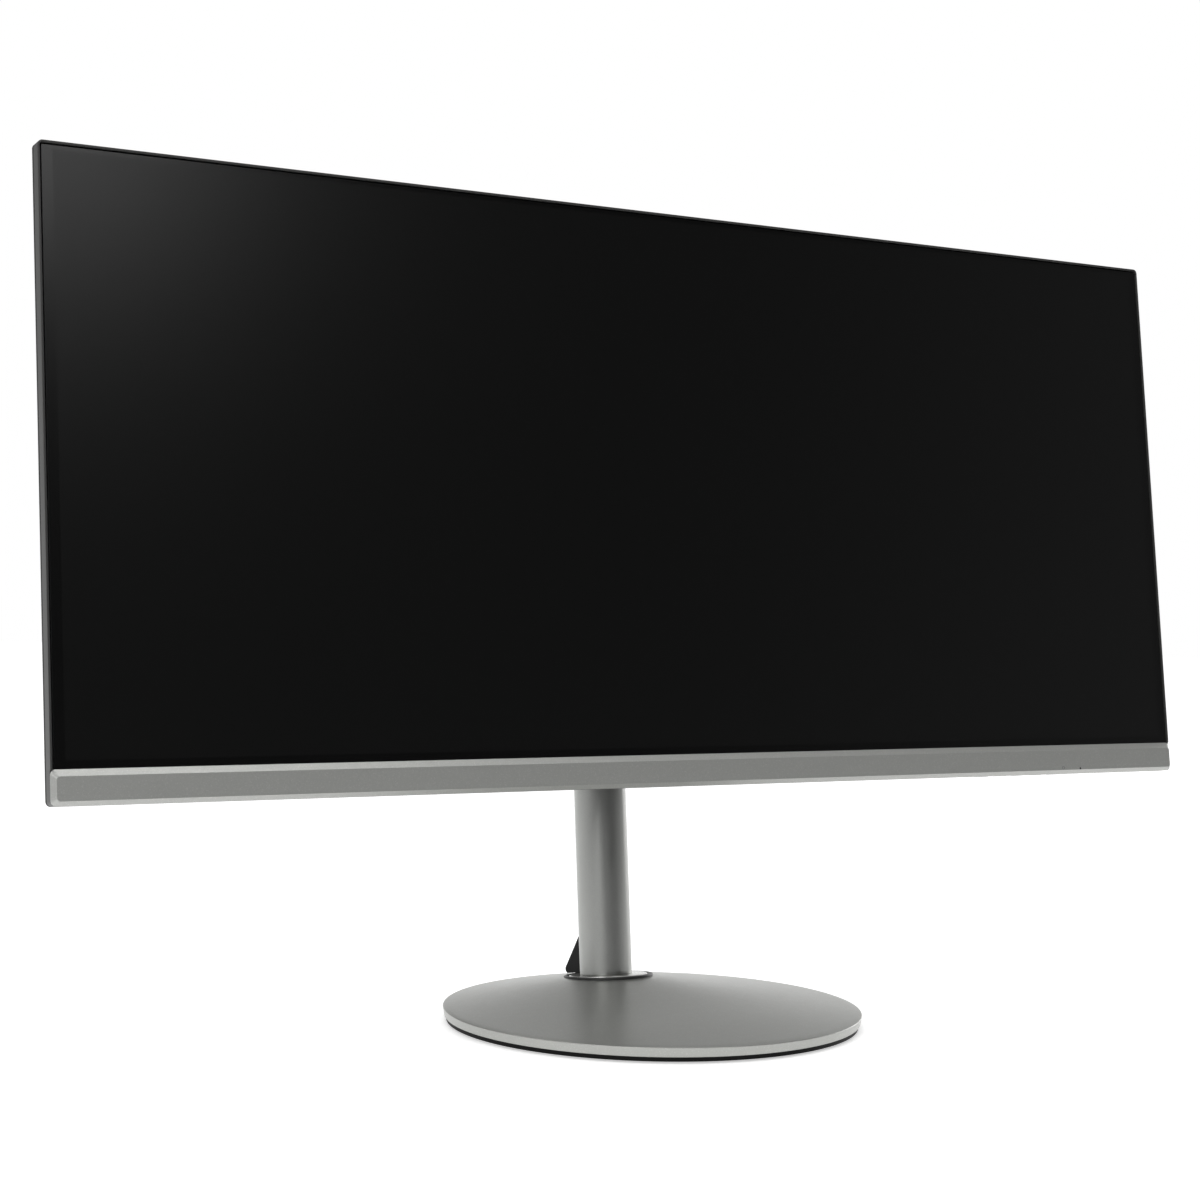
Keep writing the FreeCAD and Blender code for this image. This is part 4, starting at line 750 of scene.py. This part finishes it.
def screwTree():
    # one screw on every point: chamfered head, hexagon socket, plain shank
    tree = bpy.data.node_groups.new("screwSet", "GeometryNodeTree")
    tree.interface.new_socket("Geometry", in_out="INPUT", socket_type="NodeSocketGeometry")
    for name in ("Head", "Rise", "Shank", "Length", "Key", "Deep"):
        tree.interface.new_socket(name, in_out="INPUT", socket_type="NodeSocketFloat")
    tree.interface.new_socket("Turn", in_out="INPUT", socket_type="NodeSocketVector")
    tree.interface.new_socket("Finish", in_out="INPUT", socket_type="NodeSocketMaterial")
    tree.interface.new_socket("Geometry", in_out="OUTPUT", socket_type="NodeSocketGeometry")
    new = tree.nodes.new
    source = new("NodeGroupInput")
    target = new("NodeGroupOutput")

    def maths(operation, first, second):
        node = new("ShaderNodeMath")
        node.operation = operation
        for slot, value in enumerate((first, second)):
            if isinstance(value, str):
                link(tree, source, value, node, slot)
            elif isinstance(value, (int, float)):
                node.inputs[slot].default_value = value
            else:
                link(tree, value, 0, node, slot)
        return node

    def moved(node, height):
        shift = new("GeometryNodeTransform")
        spot = new("ShaderNodeCombineXYZ")
        link(tree, height, 0, spot, "Z")
        link(tree, node, 0, shift, "Geometry")
        link(tree, spot, 0, shift, "Translation")
        return shift

    def drum(sides, low, high, tall):
        node = new("GeometryNodeMeshCone")
        node.inputs["Vertices"].default_value = sides
        for name, value in (("Radius Bottom", low), ("Radius Top", high), ("Depth", tall)):
            if isinstance(value, str):
                link(tree, source, value, node, name)
            else:
                link(tree, value, 0, node, name)
        return node

    straight = 0.7    # share of the head below its chamfer
    narrow = 0.8    # chamfer's upper radius against the lower one
    corner = 0.577    # a hexagon's corner radius against its width across flats
    headSides, shankSides, keySides = 40, 20, 6
    lower = drum(headSides, "Head", "Head", maths("MULTIPLY", "Rise", straight))
    crownRadius = maths("MULTIPLY", "Head", narrow)
    crown = drum(headSides, "Head", crownRadius, maths("MULTIPLY", "Rise", 1 - straight))
    upper = moved(crown, maths("MULTIPLY", "Rise", straight))
    keyRadius = maths("MULTIPLY", "Key", corner)
    hexagon = drum(keySides, keyRadius, keyRadius, maths("MULTIPLY", "Rise", 2.0))
    socket = moved(hexagon, maths("SUBTRACT", "Rise", "Deep"))
    shank = moved(drum(shankSides, "Shank", "Shank", "Length"), maths("MULTIPLY", "Length", -1.0))
    merged = new("GeometryNodeMeshBoolean")
    merged.operation = "UNION"
    link(tree, lower, 0, merged, "Mesh 2")
    link(tree, upper, 0, merged, "Mesh 2")
    bored = new("GeometryNodeMeshBoolean")
    bored.operation = "DIFFERENCE"
    link(tree, merged, 0, bored, "Mesh 1")
    link(tree, socket, 0, bored, "Mesh 2")
    whole = new("GeometryNodeJoinGeometry")
    link(tree, bored, 0, whole, 0)
    link(tree, shank, 0, whole, 0)
    turn = new("FunctionNodeEulerToRotation")
    link(tree, source, "Turn", turn, 0)
    spread = new("GeometryNodeInstanceOnPoints")
    link(tree, source, "Geometry", spread, "Points")
    link(tree, whole, 0, spread, "Instance")
    link(tree, turn, 0, spread, "Rotation")
    real = new("GeometryNodeRealizeInstances")
    link(tree, spread, 0, real, 0)
    coat = new("GeometryNodeSetMaterial")
    link(tree, real, 0, coat, "Geometry")
    link(tree, source, "Finish", coat, "Material")
    link(tree, coat, 0, target, 0)
    return tree


def grow(tree, points, inputs):
    # runs a node tree on loose points and returns the plain mesh
    mesh = bpy.data.meshes.new("points")
    mesh.from_pydata([tuple(point) for point in points], [], [])
    holder = bpy.data.objects.new("holder", mesh)
    bpy.context.scene.collection.objects.link(holder)
    modifier = holder.modifiers.new("grow", "NODES")
    modifier.node_group = tree
    for item in tree.interface.items_tree:
        if item.in_out == "INPUT" and item.name in inputs:
            modifier[item.identifier] = inputs[item.name]
    result = plain(holder)
    bpy.data.objects.remove(holder)
    return result


def makeScrews():
    tree = screwTree()
    rearward = (headTurn @ Matrix.Rotation(-pi / 2, 4, "X")).to_euler()
    forward = (leanTurn @ Matrix.Rotation(pi / 2, 4, "X")).to_euler()
    for node, plan in screwPlans.items():
        place, turn = (columnFrame, forward) if node == "yoke_screws" else (headFrame, rearward)
        spots = [place @ Vector((x, plan["back"], z)) for x in plan["across"] for z in plan["up"]]
        inputs = {
            "Head": plan["head"], "Rise": plan["rise"], "Shank": plan["shank"], "Length": plan["length"],
            "Key": plan["key"], "Deep": plan["deep"], "Turn": tuple(turn), "Finish": paint["blackSteel"],
        }
        mesh = grow(tree, spots, inputs)
        smooth(mesh, angle=35)
        asPiece(node.replace("_s", "S"), mesh, paint["blackSteel"], node)


makeScrews()

print("stage: finishes on the inner parts")

innerFinish = dict(
    base_weight="plate", base_screws="blackSteel", swivel_washer="acetal", swivel_stop_pin="bolt",
    swivel_spindle="bolt", swivel_nut="bolt", column_foot="casting", spring_strip="spring",
    lift_carriage="casting", guide_pads="acetal", drum_pin="bolt", spring_drum="acetal",
    spring_coil="spring", tilt_pin="bolt", friction_washers="spring", tilt_nut="plate",
    diffuser_sheet="white", light_guide="acrylic",
    reflector_sheet="white", led_bar="board", backlight_tray="plate", chassis_bracket="plate",
    main_board="board", power_board="board", driver_board="board", button_board="board", hdmi_ports="nickel",
    displayport_socket="nickel", power_inlet="clip", audio_jack="clip",
    speaker_left="clip", speaker_right="clip",
)
for node, finish in innerFinish.items():
    for place in nodes[node].material_slots:
        place.material = paint[finish]
    if not nodes[node].material_slots:
        nodes[node].data.materials.append(paint[finish])

print("stage: floor, light and camera")

# the floor: its sides and ends, its shade, its own light near the object and far away
stagePlan = dict(left=-6.0, right=7.0, front=-0.75, back=8.0, under=-0.0002, floorShade=0.85, glow=0.6,
                 far=1.35, farFrom=1.0, farTo=3.0)


def floorFinish():
    # white paper sweep, lit from within so that it stays white far away
    finish = Finish("pale floor")
    cloud = finish.noise(finish.spot(), scale=1.5, detail=2.0)
    shade = stagePlan["floorShade"]
    base = finish.colour(cloud, (shade,) * 3, (shade * 0.985,) * 3)
    x, y, z = finish.split(finish.spot())
    away = finish.add("ShaderNodeMapRange", None, {
        0: x * x + y * y, 1: stagePlan["farFrom"] ** 2, 2: stagePlan["farTo"] ** 2})
    light = finish.colour(away, (shade,) * 3, (stagePlan["far"],) * 3)
    return finish.done({"Base Color": base, "Roughness": 0.7 + cloud * 0.1, "Emission Color": light,
                        "Emission Strength": stagePlan["glow"]})


def makeFloor():
    build = bmesh.new()
    plan = stagePlan
    spots = [(plan["left"], plan["front"]), (plan["right"], plan["front"]), (plan["right"], plan["back"]),
             (plan["left"], plan["back"])]
    build.faces.new([build.verts.new((x, y, plan["under"])) for x, y in spots])
    mesh = meshFrom("floor", build)
    floor = bpy.data.objects.new("floor", mesh)
    bpy.context.scene.collection.objects.link(floor)
    mesh.materials.append(floorFinish())


# soft boxes: place, what they face, size across and up, and power in watts
lampPlan = dict(
    left=dict(at=(-1.75, -1.15, 1.1), aim=(-0.35, 0, 0.2), wide=1.5, tall=1.4, power=13),
    right=dict(at=(2.8, 0.9, 1.0), aim=(0, 0, 0.25), wide=1.4, tall=1.6, power=16),
    top=dict(at=(0.0, 0.3, 2.6), aim=(0, 0.05, 0.0), wide=2.0, tall=2.0, power=36),
    front=dict(at=(0.38, -2.5, 1.8), aim=(-0.35, 0, 0.45), wide=0.6, tall=0.5, power=4),
)


def makeLamps():
    for name, plan in lampPlan.items():
        light = bpy.data.lights.new(name, "AREA")
        light.shape = "RECTANGLE"
        light.size = plan["wide"]
        light.size_y = plan["tall"]
        light.energy = plan["power"]
        lamp = bpy.data.objects.new(name, light)
        bpy.context.scene.collection.objects.link(lamp)
        away = Vector(plan["aim"]) - Vector(plan["at"])
        turn = away.to_track_quat("-Z", "Y").to_matrix().to_4x4()
        lamp.matrix_world = Matrix.Translation(plan["at"]) @ turn


# brightness seen by the camera, of the room low and high, of the white wall behind and in front of
# the screen; then which way is dim, and between which heights or directions each part fades in
worldPlan = dict(seen=1.0, low=0.2, high=0.42, wall=1.2, dark=0.03, dimWay=(0.489, -0.847, 0.208),
                 dimEdge=(0.66, 0.93), rightEdge=(0.52, 0.8), skyEdge=(0.2, 0.9), wallBack=(-0.1, 0.5),
                 wallLeft=(-0.6, 0.1), wallTop=(0.08, 0.36))


def makeWorld():
    # plain white where the camera sees it; elsewhere a room that is dim in front of the screen
    world = bpy.data.worlds.new("studio")
    bpy.context.scene.world = world
    finish = Finish("studio", world)
    plan = worldPlan
    x, y, z = finish.split(finish.add("ShaderNodeTexCoord", out=0))

    def step(value, edge):
        values = {0: value, 1: plan[edge][0], 2: plan[edge][1]}
        return finish.add("ShaderNodeMapRange", dict(interpolation_type="SMOOTHSTEP"), values)

    # towards the front right, a little up: the part of the room that the screen mirrors
    way = plan["dimWay"]
    facing = x * way[0] + y * way[1] + z * way[2]
    dim = step(facing, "dimEdge") * (1 - step(x, "rightEdge"))
    room = finish.between(step(z, "skyEdge"), plan["low"], plan["high"])
    wall = step(y, "wallBack") * step(x, "wallLeft") * (1 - step(z, "wallTop")) * plan["wall"]
    level = (room + wall) * (1 - dim) + dim * plan["dark"]
    lit = finish.add("ShaderNodeBackground", None, {0: (1, 1, 1, 1), 1: level})
    seen = finish.add("ShaderNodeBackground", None, {0: (1, 1, 1, 1), 1: plan["seen"]})
    camera = finish.add("ShaderNodeLightPath", None, None, 0)
    both = finish.add("ShaderNodeMixShader", None, {0: camera, 1: lit, 2: seen})
    finish.add("ShaderNodeOutputWorld", None, {"Surface": both})


# the camera stands level with the head, to the left of the middle
cameraPlan = dict(at=(-0.80341, -1.24826, 0.27692), yaw=31.283, pitch=-0.358, roll=1.166, lens=69.915,
                  sensor=36.0, farthest=100.0)


def makeCamera():
    plan = cameraPlan
    data = bpy.data.cameras.new("camera")
    data.sensor_width = plan["sensor"]
    data.lens = plan["lens"]
    data.clip_end = plan["farthest"]
    camera = bpy.data.objects.new("camera", data)
    bpy.context.scene.collection.objects.link(camera)
    yaw, pitch, roll = (radians(plan[key]) for key in ("yaw", "pitch", "roll"))
    level = Vector((cos(yaw), -sin(yaw), 0))
    ahead = Vector((sin(yaw) * cos(pitch), cos(yaw) * cos(pitch), sin(pitch)))
    up = level.cross(ahead)
    across = level * cos(roll) + up * sin(roll)
    above = up * cos(roll) - level * sin(roll)
    turn = Matrix((across, above, -ahead)).transposed()
    camera.matrix_world = Matrix.Translation(plan["at"]) @ turn.to_4x4()
    bpy.context.scene.camera = camera


makeFloor()
makeLamps()
makeWorld()
makeCamera()
bpy.context.scene.view_settings.view_transform = "Standard"

print("stage: sizes")
